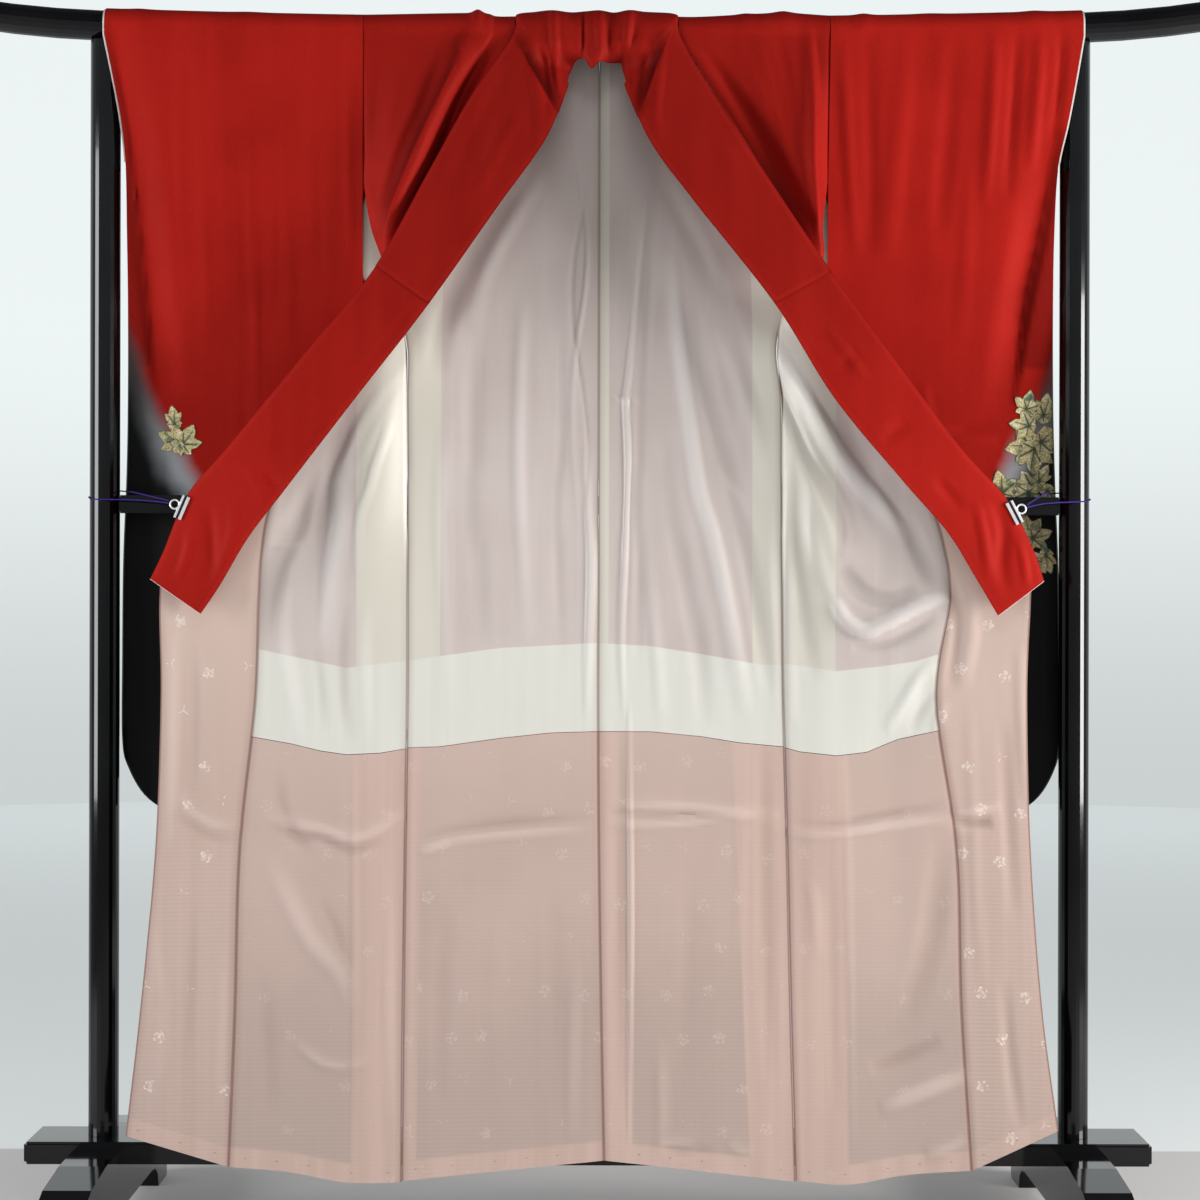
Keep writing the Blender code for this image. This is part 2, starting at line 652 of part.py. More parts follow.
def make_wrist_lining(side, name, material):
    """The lining's edge, which shows as a pale line round the wrist opening."""
    strips = []
    for row in sleeve_rows(side, WRIST_LINING_POSITIONS):
        outer = row[-1]
        strip = []
        for reach in (-WRIST_LINING_PROUD, WRIST_LINING_WIDTH / 2, WRIST_LINING_WIDTH):
            strip.append(Vector((outer.x - side * reach, outer.y, outer.z)))
        strips.append(strip)
    grid = in_space(strips)
    cloth_wall(name, moved(grid, side * LINING_STEP), CLOTH, material)


def make_bar(material):
    """The round top bar, lofted along its slightly bent centre line, with domed ends."""
    straight_half = BAR_HALF_LENGTH - BAR_DOME[-1].along
    rings = [(straight_half * (2 * k / BAR_STATIONS - 1), BAR_RADIUS)
             for k in range(BAR_STATIONS + 1)]
    for ring in BAR_DOME:
        rings.insert(0, (-straight_half - ring.along, BAR_RADIUS * ring.size))
        rings.append((straight_half + ring.along, BAR_RADIUS * ring.size))
    points = []
    for x, radius in rings:
        for step in range(BAR_SIDES):
            turn = 2 * math.pi * step / BAR_SIDES
            points.append((x, radius * math.cos(turn), bar_height(x) + radius * math.sin(turn)))
    faces = []
    for start in range(0, (len(rings) - 1) * BAR_SIDES, BAR_SIDES):
        for step in range(BAR_SIDES):
            ahead = (step + 1) % BAR_SIDES
            faces.append((start + step, start + ahead,
                          start + BAR_SIDES + ahead, start + BAR_SIDES + step))
    faces.append(tuple(reversed(range(BAR_SIDES))))
    faces.append(tuple(range((len(rings) - 1) * BAR_SIDES, len(rings) * BAR_SIDES)))
    work = bmesh.new()
    work.from_mesh(mesh_from("top_bar", points, faces))
    finish_bmesh("top_bar", work, material)


def make_block(name, low, high, bevel, material):
    work = bmesh.new()
    bmesh.ops.create_cube(work, size=1.0)
    size = Vector(high) - Vector(low)
    middle = (Vector(high) + Vector(low)) / 2
    bmesh.ops.transform(work, matrix=Matrix.Translation(middle) @ Matrix.Diagonal((*size, 1.0)),
                        verts=work.verts)
    bmesh.ops.bevel(work, geom=work.edges[:], offset=bevel, segments=2, affect="EDGES")
    return finish_bmesh(name, work, material)


def make_post(name, x, material):
    top = bar_height(abs(x) - POST_RADIUS) - BAR_RADIUS - GAP
    bottom = BOARD_TOP + GAP
    work = bmesh.new()
    bmesh.ops.create_cone(work, cap_ends=True, segments=POST_SIDES, radius1=POST_RADIUS,
                          radius2=POST_RADIUS, depth=top - bottom)
    bmesh.ops.translate(work, vec=(x, 0.0, (top + bottom) / 2), verts=work.verts)
    finish_bmesh(name, work, material)


def extrude(work, corners, way):
    """A prism between a face on the corners and the same face moved along way."""
    face = work.faces.new(corners)
    grown = bmesh.ops.extrude_face_region(work, geom=[face])
    ends = [item for item in grown["geom"] if isinstance(item, bmesh.types.BMVert)]
    bmesh.ops.translate(work, vec=way, verts=ends)


def foot_outline():
    """Side view of a foot as (y, z): a notch for the board and an arch between the end pads."""
    notch_y = BOARD_HALF_WIDTH + GAP
    half = [(notch_y, BOARD_BOTTOM - GAP), (notch_y, FOOT_TOP), *FOOT_SIDE]
    return half + [(-y, z) for y, z in reversed(half)]


def make_foot(name, x, material):
    outline = foot_outline()
    work = bmesh.new()
    corners = [work.verts.new((x - FOOT_WIDTH / 2, y, z)) for y, z in outline]
    extrude(work, corners, Vector((FOOT_WIDTH, 0.0, 0.0)))
    bmesh.ops.triangulate(work, faces=[face for face in work.faces if len(face.verts) > 4])
    finish_bmesh(name, work, material)


def clip_axes(side):
    """The clip's middle on the collar's outer edge, and the directions along and across it."""
    bands = LEFT_BAND if side < 0 else RIGHT_BAND
    upper = Vector(bands[CLIP_BAND].outer)
    lower = Vector(bands[CLIP_BAND + 1].outer)
    along = (lower - upper).normalized()
    across = Vector((0.0, -side, 0.0)).cross(along).normalized()
    middle = upper + along * CLIP_SLIDE + Vector((0.0, CLIP_SETBACK, 0.0))
    return middle, along, across


def make_clip(side, name, material):
    """A spring clip: a folded plate that grips the collar's edge, with a ring behind it."""
    middle, along, across = clip_axes(side)
    back = Vector((0.0, 1.0, 0.0))
    hollow = JAW_HALF_DEPTH - JAW_PLATE
    half = [(JAW_OUTSIDE, JAW_HALF_DEPTH - JAW_ROUND * 2), (JAW_OUTSIDE - JAW_ROUND, JAW_HALF_DEPTH),
            (-JAW_INSIDE, JAW_HALF_DEPTH), (-JAW_INSIDE, hollow), (JAW_OUTSIDE - JAW_SPINE, hollow)]
    profile = half + [(a, -y) for a, y in reversed(half)]
    work = bmesh.new()
    corners = [work.verts.new(middle - along * JAW_LENGTH / 2 + across * a + back * y)
               for a, y in profile]
    extrude(work, corners, along * JAW_LENGTH)
    clip = finish_bmesh(name, work, material)
    ring_reach = JAW_OUTSIDE + RING_RADIUS - RING_WIRE / 2
    ring = make_ring(name + "_ring_guide", middle + across * ring_reach,
                     across, across.cross(along), material)
    union = clip.modifiers.new("Ring", "BOOLEAN")
    union.operation = "UNION"
    union.solver = "EXACT"
    union.object = ring


def make_ring(name, centre, across, axis, material):
    """The wire ring, as a guide that the clip's body is joined to."""
    axis = axis.normalized()
    side_way = across.cross(axis).normalized()
    points = []
    for step in range(RING_AROUND):
        turn = 2 * math.pi * step / RING_AROUND
        spoke = across * math.cos(turn) + side_way * math.sin(turn)
        for part in range(RING_TUBE):
            roll = 2 * math.pi * part / RING_TUBE
            points.append(centre + spoke * (RING_RADIUS + RING_WIRE * math.cos(roll))
                          + axis * RING_WIRE * math.sin(roll))
    faces = []
    for step in range(RING_AROUND):
        here = step * RING_TUBE
        ahead = (step + 1) % RING_AROUND * RING_TUBE
        for part in range(RING_TUBE):
            following = (part + 1) % RING_TUBE
            faces.append((here + part, ahead + part, ahead + following, here + following))
    work = bmesh.new()
    work.from_mesh(mesh_from(name, points, faces))
    ring = finish_bmesh(name, work, material)
    ring.hide_render = True
    ring.display_type = "WIRE"
    return ring


def make_clip_cord(side, name, material):
    """The elastic cord: from the ring round the post and back over the rail to the ring."""
    middle, along, across = clip_axes(side)
    reach = JAW_OUTSIDE + 2 * RING_RADIUS + RING_WIRE / 2 + CORD_RADIUS + GAP
    ring_side = middle + across * reach
    start = ring_side - Vector((0.0, CORD_RADIUS, CORD_SPREAD))
    finish = ring_side + Vector((0.0, CORD_RADIUS, CORD_SPREAD))
    wrap = POST_RADIUS + CORD_RADIUS + GAP
    loop = []
    for k in range(CORD_WRAP_STEPS + 1):
        share = k / CORD_WRAP_STEPS
        turn = math.radians(blend(CORD_WRAP_START, CORD_WRAP_END, share))
        loop.append(Vector((side * (POST_X - wrap * math.cos(turn)), -wrap * math.sin(turn),
                            CORD_WRAP_HEIGHT + CORD_WRAP_RISE * share)))
    outward = Vector((side * CORD_WAY_IN[0], *CORD_WAY_IN[1:]))
    homeward = [Vector((side * x, y, z)) for x, y, z in CORD_WAY_BACK]
    route = [start, blend(start, outward, .5), *loop, *homeward, finish]
    smooth = spread(route, CORD_POINTS)
    curve = bpy.data.curves.new(name, "CURVE")
    curve.dimensions = "3D"
    curve.bevel_depth = CORD_RADIUS
    curve.bevel_resolution = 2
    curve.use_fill_caps = True
    spline = curve.splines.new("POLY")
    spline.points.add(len(smooth) - 1)
    for point, place in zip(spline.points, smooth):
        point.co = (*place, 1.0)
    add_object(name, curve, material)


def main():
    clear_scene()
    lacquer = make_material("black_lacquer", LACQUER, 0.12)
    steel = make_material("clip_steel", STEEL, 0.25, 1.0)
    elastic = make_material("indigo_elastic", INDIGO, 0.8)
    red = make_material("red_silk", RED, 0.6)
    cream = make_material("cream_lining", CREAM, 0.5)
    pink = make_material("pink_lining", PINK, 0.4)
    make_bar(lacquer)
    make_block("base_board", (-BOARD_HALF_LENGTH, -BOARD_HALF_WIDTH, BOARD_BOTTOM),
               (BOARD_HALF_LENGTH, BOARD_HALF_WIDTH, BOARD_TOP), BOARD_BEVEL, lacquer)
    rail_end = POST_X - POST_RADIUS - GAP
    make_block("mid_rail", (-rail_end, -RAIL_HALF_DEPTH, RAIL_HEIGHT - RAIL_HALF_HEIGHT),
               (rail_end, RAIL_HALF_DEPTH, RAIL_HEIGHT + RAIL_HALF_HEIGHT), RAIL_BEVEL, lacquer)
    for side, suffix, levels, neck_x in ((-1, "left", LEFT_FRONT, NECK_LEFT_X),
                                         (1, "right", RIGHT_FRONT, NECK_RIGHT_X)):
        make_post("post_" + suffix, side * POST_X, lacquer)
        make_foot("foot_" + suffix, side * POST_X, lacquer)
        make_body(side, suffix, levels, neck_x, red, cream, pink)
        make_okumi(side, suffix, levels, red, pink)
        make_sleeve(side, "sleeve_" + suffix, red)
        make_wrist_lining(side, "sleeve_lining_" + suffix, cream)
        make_clip(side, "clip_" + suffix, steel)
        make_clip_cord(side, "clip_cord_" + suffix, elastic)
    make_collar(red)


main()
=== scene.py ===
"""Looks of a furisode kimono that hangs open over the bar of its black lacquer kimono stand.

Units are metres and +Z is up. The opened front faces -Y, and left and right are as seen from there.
The cloth is made in hanging coordinates (x, drop, out). x runs along the bar. drop is the length
of cloth from the top of the bar, positive down the front and negative down the back. out is how
far the cloth stands off the place where it would just lie on the bar.
"""
import json
import math
from collections import namedtuple

import bpy
import numpy as np
from mathutils import Matrix, Vector
from mathutils.bvhtree import BVHTree


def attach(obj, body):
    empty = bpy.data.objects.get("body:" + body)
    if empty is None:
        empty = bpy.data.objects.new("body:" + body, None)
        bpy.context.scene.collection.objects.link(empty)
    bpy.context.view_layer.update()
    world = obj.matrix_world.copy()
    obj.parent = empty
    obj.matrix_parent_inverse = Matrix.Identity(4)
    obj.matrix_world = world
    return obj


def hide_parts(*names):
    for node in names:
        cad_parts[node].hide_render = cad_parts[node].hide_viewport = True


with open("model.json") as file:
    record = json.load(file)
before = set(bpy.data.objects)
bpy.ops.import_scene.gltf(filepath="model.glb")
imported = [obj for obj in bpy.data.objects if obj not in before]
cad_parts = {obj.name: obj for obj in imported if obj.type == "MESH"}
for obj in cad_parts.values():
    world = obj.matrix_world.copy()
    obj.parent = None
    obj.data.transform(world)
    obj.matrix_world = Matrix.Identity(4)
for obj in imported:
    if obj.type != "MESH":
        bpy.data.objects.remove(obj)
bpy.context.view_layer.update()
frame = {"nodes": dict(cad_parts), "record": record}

# Sizes of the frame that the cloth is hung on
POST_X = 0.646
BAR_RADIUS = 0.020
BAR_HALF_LENGTH = 0.840
BAR_MIDDLE_HEIGHT = 1.594
BAR_RISE_AT_POST = 0.010
BAR_TIP_RISE = 0.012
GAP = 0.0003
LINING_STEP = 0.0013
FACE = BAR_RADIUS + 0.0027
QUARTER = FACE * math.pi / 2
SEAM = 0.0006

# Thickness of the cloth
OUTER_SILK = 0.0006
LINING_SILK = 0.0005
BAND_SILK = 0.0016
BAND_HALF_WIDTH = 0.053

Level = namedtuple("Level", "side ridge valley seam edge", defaults=[None])
BackRow = namedtuple("BackRow", "left right side_y middle_y centre_x side_z centre_z")
SleeveRow = namedtuple("SleeveRow", "z left_outer right_outer front_y back_y")
Band = namedtuple("Band", "outer inner")
Turn = namedtuple("Turn", "x drop free_end")

# Front panels, one row for each level from just under the bar to the hem, as (x, y, z).
# side is the armhole, the slit and the side seam. ridge and valley are the long fold that takes up
# the spare width. seam is the collar seam, and below the sword point the overlap's seam.
# edge is the free front edge, where it isn't the collar seam.
LEFT_FRONT = [
    Level((-.3008, -.0227, 1.588), (-.155, -.0270, 1.588), (-.125, -.0225, 1.588),
          (-.100, -.0227, 1.588)),
    Level((-.3008, -.0234, 1.500), (-.197, -.0460, 1.500), (-.172, -.0260, 1.500),
          (-.156, -.0448, 1.499)),
    Level((-.2996, -.0240, 1.400), (-.234, -.0560, 1.400), (-.204, -.0290, 1.405),
          (-.208, -.0568, 1.402)),
    Level((-.2900, -.0330, 1.335), (-.258, -.0590, 1.333), (-.218, -.0320, 1.338),
          (-.242, -.0650, 1.338)),
    Level((-.2755, -.0300, 1.292), (-.267, -.0420, 1.290), (-.240, -.0490, 1.290),
          (-.268, -.0717, 1.285)),
    Level((-.2575, -.0320, 1.235), (-.260, -.0460, 1.235), (-.272, -.0620, 1.230),
          (-.309, -.0783, 1.222)),
    Level((-.2425, -.0360, 1.175), (-.265, -.0470, 1.172), (-.296, -.0590, 1.168),
          (-.334, -.0790, 1.165), (-.362, -.0852, 1.165)),
    Level((-.2415, -.0360, 1.100), (-.275, -.0540, 1.095), (-.322, -.0580, 1.095),
          (-.362, -.0790, 1.100), (-.413, -.0892, 1.098)),
    Level((-.2403, -.0370, 0.970), (-.290, -.0610, 0.970), (-.352, -.0570, 0.970),
          (-.412, -.0790, 0.970), (-.512, -.0909, 0.973)),
    Level((-.2400, -.0385, 0.905), (-.296, -.0580, 0.905), (-.360, -.0560, 0.905),
          (-.426, -.0750, 0.905), (-.5475, -.0928, 0.900)),
    Level((-.2398, -.0405, 0.840), (-.300, -.0540, 0.840), (-.366, -.0570, 0.840),
          (-.431, -.0710, 0.839), (-.556, -.0925, 0.838)),
    Level((-.2392, -.0455, 0.710), (-.300, -.0530, 0.710), (-.370, -.0590, 0.710),
          (-.435, -.0680, 0.709), (-.556, -.0820, 0.709)),
    Level((-.2410, -.0530, 0.513), (-.305, -.0600, 0.513), (-.380, -.0610, 0.513),
          (-.455, -.0680, 0.513), (-.563, -.0800, 0.514)),
    Level((-.2425, -.0610, 0.300), (-.310, -.0640, 0.300), (-.385, -.0660, 0.300),
          (-.460, -.0740, 0.300), (-.581, -.0840, 0.310)),
    Level((-.2435, -.0680, 0.0795), (-.315, -.0710, 0.080), (-.390, -.0730, 0.094),
          (-.467, -.0790, 0.102), (-.599, -.0880, 0.144)),
]
RIGHT_FRONT = [
    Level((.3174, -.0227, 1.588), (.250, -.0240, 1.588), (.150, -.0225, 1.588),
          (.117, -.0227, 1.588)),
    Level((.3160, -.0234, 1.500), (.285, -.0360, 1.500), (.196, -.0280, 1.500),
          (.167, -.0446, 1.500)),
    Level((.3142, -.0240, 1.400), (.292, -.0480, 1.400), (.238, -.0340, 1.400),
          (.226, -.0568, 1.402)),
    Level((.3070, -.0320, 1.335), (.297, -.0520, 1.334), (.262, -.0420, 1.337),
          (.266, -.0645, 1.336)),
    Level((.3065, -.0300, 1.288), (.303, -.0420, 1.286), (.284, -.0510, 1.286),
          (.300, -.0712, 1.285)),
    Level((.2620, -.0320, 1.240), (.268, -.0460, 1.237), (.291, -.0620, 1.232),
          (.334, -.0778, 1.230)),
    Level((.2475, -.0360, 1.175), (.278, -.0480, 1.172), (.314, -.0600, 1.168),
          (.352, -.0790, 1.167), (.384, -.0850, 1.167)),
    Level((.2535, -.0360, 1.100), (.292, -.0540, 1.095), (.338, -.0590, 1.095),
          (.385, -.0790, 1.100), (.427, -.0890, 1.100)),
    Level((.2545, -.0370, 0.970), (.308, -.0640, 0.970), (.375, -.0600, 0.970),
          (.442, -.0790, 0.971), (.531, -.0909, 0.974)),
    Level((.2550, -.0385, 0.905), (.315, -.0610, 0.905), (.388, -.0620, 0.905),
          (.463, -.0750, 0.905), (.5715, -.0928, 0.905)),
    Level((.2555, -.0405, 0.840), (.320, -.0560, 0.840), (.396, -.0640, 0.840),
          (.470, -.0710, 0.841), (.572, -.0925, 0.838)),
    Level((.2560, -.0455, 0.710), (.315, -.0540, 0.710), (.385, -.0600, 0.710),
          (.453, -.0680, 0.711), (.569, -.0820, 0.711)),
    Level((.2610, -.0530, 0.513), (.325, -.0600, 0.513), (.400, -.0610, 0.513),
          (.480, -.0680, 0.515), (.575, -.0800, 0.515)),
    Level((.2655, -.0610, 0.300), (.335, -.0640, 0.300), (.410, -.0660, 0.300),
          (.486, -.0730, 0.310), (.589, -.0840, 0.315)),
    Level((.2715, -.0680, 0.083), (.340, -.0710, 0.079), (.415, -.0730, 0.092),
          (.499, -.0790, 0.099), (.610, -.0880, 0.153)),
]
SWORD_POINT = 5

# Back panels, one row for each height: the side edges, their y, the y near the centre seam,
# the centre seam's x, and the heights at the side and at the centre.
BACK = [
    BackRow(-.3008, .3174, .0227, .0227, .012, 1.588, 1.588),
    BackRow(-.3008, .3160, .0230, .0230, .012, 1.500, 1.500),
    BackRow(-.3008, .3142, .0230, .0230, .012, 1.400, 1.400),
    BackRow(-.2910, .3020, .0140, .0190, .012, 1.330, 1.330),
    BackRow(-.2680, .2720, -.0060, .0130, .012, 1.260, 1.260),
    BackRow(-.2416, .2466, -.0360, .0050, .012, 1.180, 1.180),
    BackRow(-.2406, .2526, -.0360, -.0030, .012, 1.100, 1.100),
    BackRow(-.2394, .2536, -.0370, -.0140, .012, 0.970, 0.970),
    BackRow(-.2389, .2546, -.0405, -.0230, .012, 0.840, 0.840),
    BackRow(-.2383, .2551, -.0455, -.0340, .012, 0.710, 0.710),
    BackRow(-.2401, .2601, -.0530, -.0450, .0135, 0.513, 0.513),
    BackRow(-.2416, .2646, -.0610, -.0540, .017, 0.300, 0.300),
    BackRow(-.2426, .2706, -.0680, -.0610, .021, 0.0815, 0.107),
]
# The drop, down the back, at which the neck is cut, and the x of the neck's two sides
NECK_DROP = -.008
NECK_LEFT_X = -.100
NECK_RIGHT_X = .117
# Rows over the bar to the front: their drops, and how far the long fold lifts there.
SHOULDER_ROWS = ((-.004, .000), (.006, .004), (.017, .005), (.027, .005))
BACK_TOP_DROPS = (-.027, -.018, NECK_DROP)

# Sleeves, one row for each height: the outer edges, and the y of the front and back layers.
SLEEVE = [
    SleeveRow(1.588, -.6440, .6530, -.0227, .0227),
    SleeveRow(1.530, -.6320, .6430, -.0232, .0230),
    SleeveRow(1.472, -.6210, .6320, -.0238, .0230),
    SleeveRow(1.412, -.6150, .6190, -.0240, .0230),
    SleeveRow(1.330, -.6135, .6150, -.0200, .0240),
    SleeveRow(1.240, -.6135, .6150, -.0100, .0260),
    SleeveRow(1.120, -.6160, .6180, .0080, .0300),
    SleeveRow(1.010, -.6190, .6220, .0180, .0330),
    SleeveRow(0.890, -.6235, .6270, .0190, .0330),
    SleeveRow(0.760, -.6245, .6290, .0190, .0320),
    SleeveRow(0.650, -.6240, .6290, .0190, .0310),
    SleeveRow(0.612, -.6150, .6215, .0190, .0310),
    SleeveRow(0.576, -.5930, .6000, .0190, .0300),
    SleeveRow(0.555, -.5600, .5680, .0190, .0300),
    SleeveRow(0.546, -.5150, .5230, .0190, .0300),
]
WRIST_ROW = 3
SLEEVE_FOOT = len(SLEEVE) - 1
OVER_BAR_DROPS = (-QUARTER, -.027, -.018, -.009, 0.0, .009, .018, .027, QUARTER)
SLEEVE_LEFT_INNER = -.3013
SLEEVE_RIGHT_INNER = .3182
SLEEVE_RIGHT_TAPER = .0032
ARMHOLE_BOTTOM = 1.400
# The lining round a wrist opening: its last row, the way between its rows, how wide it is, how
# thick, and how far it stands out past the sleeve's edge
WRIST_LINING_END = 2.9
WRIST_LINING_STEP = .004
WRIST_LINING_WIDTH = .030
WRIST_LINING_SILK = .0007
WRIST_LINING_PROUD = .0022

# The collar band below the neck: its sewn outer edge and its free inner edge, as (x, y, z).
LEFT_BAND = [
    Band((-.103, -.0264, 1.585), (-.032, -.0450, 1.513)),
    Band((-.158, -.0470, 1.499), (-.058, -.0620, 1.443)),
    Band((-.210, -.0590, 1.402), (-.118, -.0760, 1.355)),
    Band((-.280, -.0755, 1.272), (-.210, -.0930, 1.221)),
    Band((-.366, -.0890, 1.163), (-.297, -.1000, 1.107)),
    Band((-.467, -.0960, 1.038), (-.396, -.1050, 0.977)),
    Band((-.519, -.0945, 0.976), (-.440, -.1050, 0.919)),
    Band((-.551, -.0965, 0.900), (-.476, -.1040, 0.858)),
    Band((-.567, -.0985, 0.866), (-.501, -.1030, 0.821)),
]
RIGHT_BAND = [
    Band((.120, -.0264, 1.582), (.049, -.0450, 1.512)),
    Band((.173, -.0470, 1.488), (.079, -.0640, 1.439)),
    Band((.224, -.0590, 1.406), (.136, -.0780, 1.359)),
    Band((.315, -.0755, 1.267), (.240, -.0940, 1.224)),
    Band((.387, -.0890, 1.165), (.317, -.1000, 1.101)),
    Band((.479, -.0960, 1.040), (.405, -.1050, 0.994)),
    Band((.541, -.0945, 0.971), (.462, -.1050, 0.929)),
    Band((.575, -.0965, 0.905), (.500, -.1040, 0.868)),
    Band((.588, -.0985, 0.866), (.528, -.1030, 0.821)),
]
COVER_BAND = 3
CLIP_BAND = 6
CLIP_SLIDE = .0192
CLIP_LINE_SHIFT = .0006
# The collar round the neck: where its sections cross the bar, how it waves where it is gathered,
# how far it stands off the garment's edge there, and how far its free edge hangs inside.
LEFT_TURNS = [
    Turn(-.098, .012, (-.031, -.040, 1.527)),
    Turn(-.086, -.006, (-.028, -.034, 1.541)),
]
RIGHT_TURNS = [
    Turn(.104, -.006, (.045, -.034, 1.541)),
    Turn(.115, .012, (.048, -.040, 1.527)),
]
NECK_SECTIONS_X = (-.058, -.030, -.009, .012, .033, .056, .078)
NECK_NARROWING = .45
NECK_GATHER = .004
GATHER_PITCH = .056
GATHER_CREST_X = .005
COLLAR_OUT = .0022
COVER_RAISE = .0009
# The line at each side of the neck where the flat band turns back, and how deep it turns
NECK_TURN_LEFT = ((-98, 1571), (-46, 1474))
NECK_TURN_RIGHT = ((102, 1581), (65, 1471))
NECK_TURN_DEPTH = .0065
NECK_EDGE_WAVES = (.001, .000, .013, .004, .003, .002, .002)
COLLAR_OVERLAP = .003
NECK_FREE_DROP = .073
NECK_TOP_DROPS = (.010, .034)
SECTION_SHARES = (0.0, .2, .5, 1.0)

# Positions are counted in rows of the tables above. The front linings begin under the collar, and
# the seam between cream and pink is looked for between two rows.
FRONT_LINING_TOP = 5
BACK_HEM = len(BACK) - 1
FRONT_HEM = len(LEFT_FRONT) - 1
BACK_SEAM_ROWS = (8, 11)
FRONT_SEAM_ROWS = (10, 13)

# Folds, in millimetres: height towards the viewer (a ridge, or a trough if below
# zero), half width, how much wider the right-hand slope is, and the way as x, z, x, z and so on.
FRONT_LEFT_FOLDS = [
    (10, 14, .78, -156, 1612, -176, 1548, -200, 1496, -230, 1430, -259, 1358, -272, 1306),
    (-6, 8, 0, -118, 1562, -128, 1544, -160, 1496, -201, 1430, -243, 1364, -270, 1312),
    (-5.5, 14, 0, -190, 1575, -215, 1500, -245, 1431, -268, 1357),
    (1.2, 12, 0, -245, 1580, -257, 1511, -271, 1444),
    (-1, 9, 0, -279, 1594, -282, 1511, -287, 1431),
    (1.4, 8, 0, -293, 1393, -287, 1357, -279, 1318, -274, 1298),
    (3.4, 20, .3, -236, 1182, -284, 1117, -310, 1039, -328, 993, -330, 940, -338, 886, -345, 817, -349, 761),
    (1.6, 9, .2, -263, 1081, -271, 1051, -284, 1009, -289, 986, -300, 956, -304, 924, -305, 872),
    (-4, 26, -.2, -318, 1075, -368, 1017, -383, 940, -407, 886, -415, 839, -415, 779),
    (-1.6, 14, 0, -258, 1130, -282, 1085, -300, 1048, -313, 1009),
    (2.5, 16, 0, -399, 859, -402, 813, -394, 761, -378, 682, -367, 630),
    (-2.5, 14, 0, -319, 839, -323, 774, -320, 708, -312, 650),
    (2, 12, 0, -292, 839, -294, 761, -291, 682, -294, 650),
    (-2, 12, 0, -357, 787, -349, 721, -344, 663),
    (1.1, 8, 0, -421, 916, -400, 912, -375, 911),
    (2, 13, .2, -427, 562, -395, 548, -354, 539, -308, 526, -273, 539, -237, 565),
    (-1.6, 12, 0, -416, 544, -377, 528, -348, 528, -312, 511, -267, 523),
    (-2, 13, 0, -405, 617, -399, 570, -382, 531, -357, 499),
    (2.6, 21, .1, -419, 504, -390, 447, -363, 395, -324, 350, -308, 304),
    (-1.8, 12, 0, -353, 454, -332, 415, -315, 361),
    (1.4, 10, 0, -386, 265, -347, 236, -310, 231, -282, 242),
    (-1.6, 18, 0, -426, 369, -415, 265, -412, 161),
    (-1.4, 8, 0, -313, 630, -312, 486, -310, 304, -311, 110),
    (1.5, 13, 0, -257, 474, -259, 317, -255, 136),
    (2.6, 12, 0, -534, 831, -537, 709, -540, 591, -544, 500),
    (-1.6, 10, 0, -511, 787, -510, 683, -513, 578),
    (1.7, 11, .2, -532, 589, -522, 570, -509, 557, -485, 545, -453, 542),
    (-1.3, 11, 0, -542, 563, -516, 544, -488, 529, -454, 524),
    (1.5, 14, 0, -571, 442, -549, 318, -559, 176),
    (-1.6, 13, 0, -511, 448, -515, 331, -522, 215),
    (1.4, 12, 0, -474, 409, -476, 280, -483, 150),
]
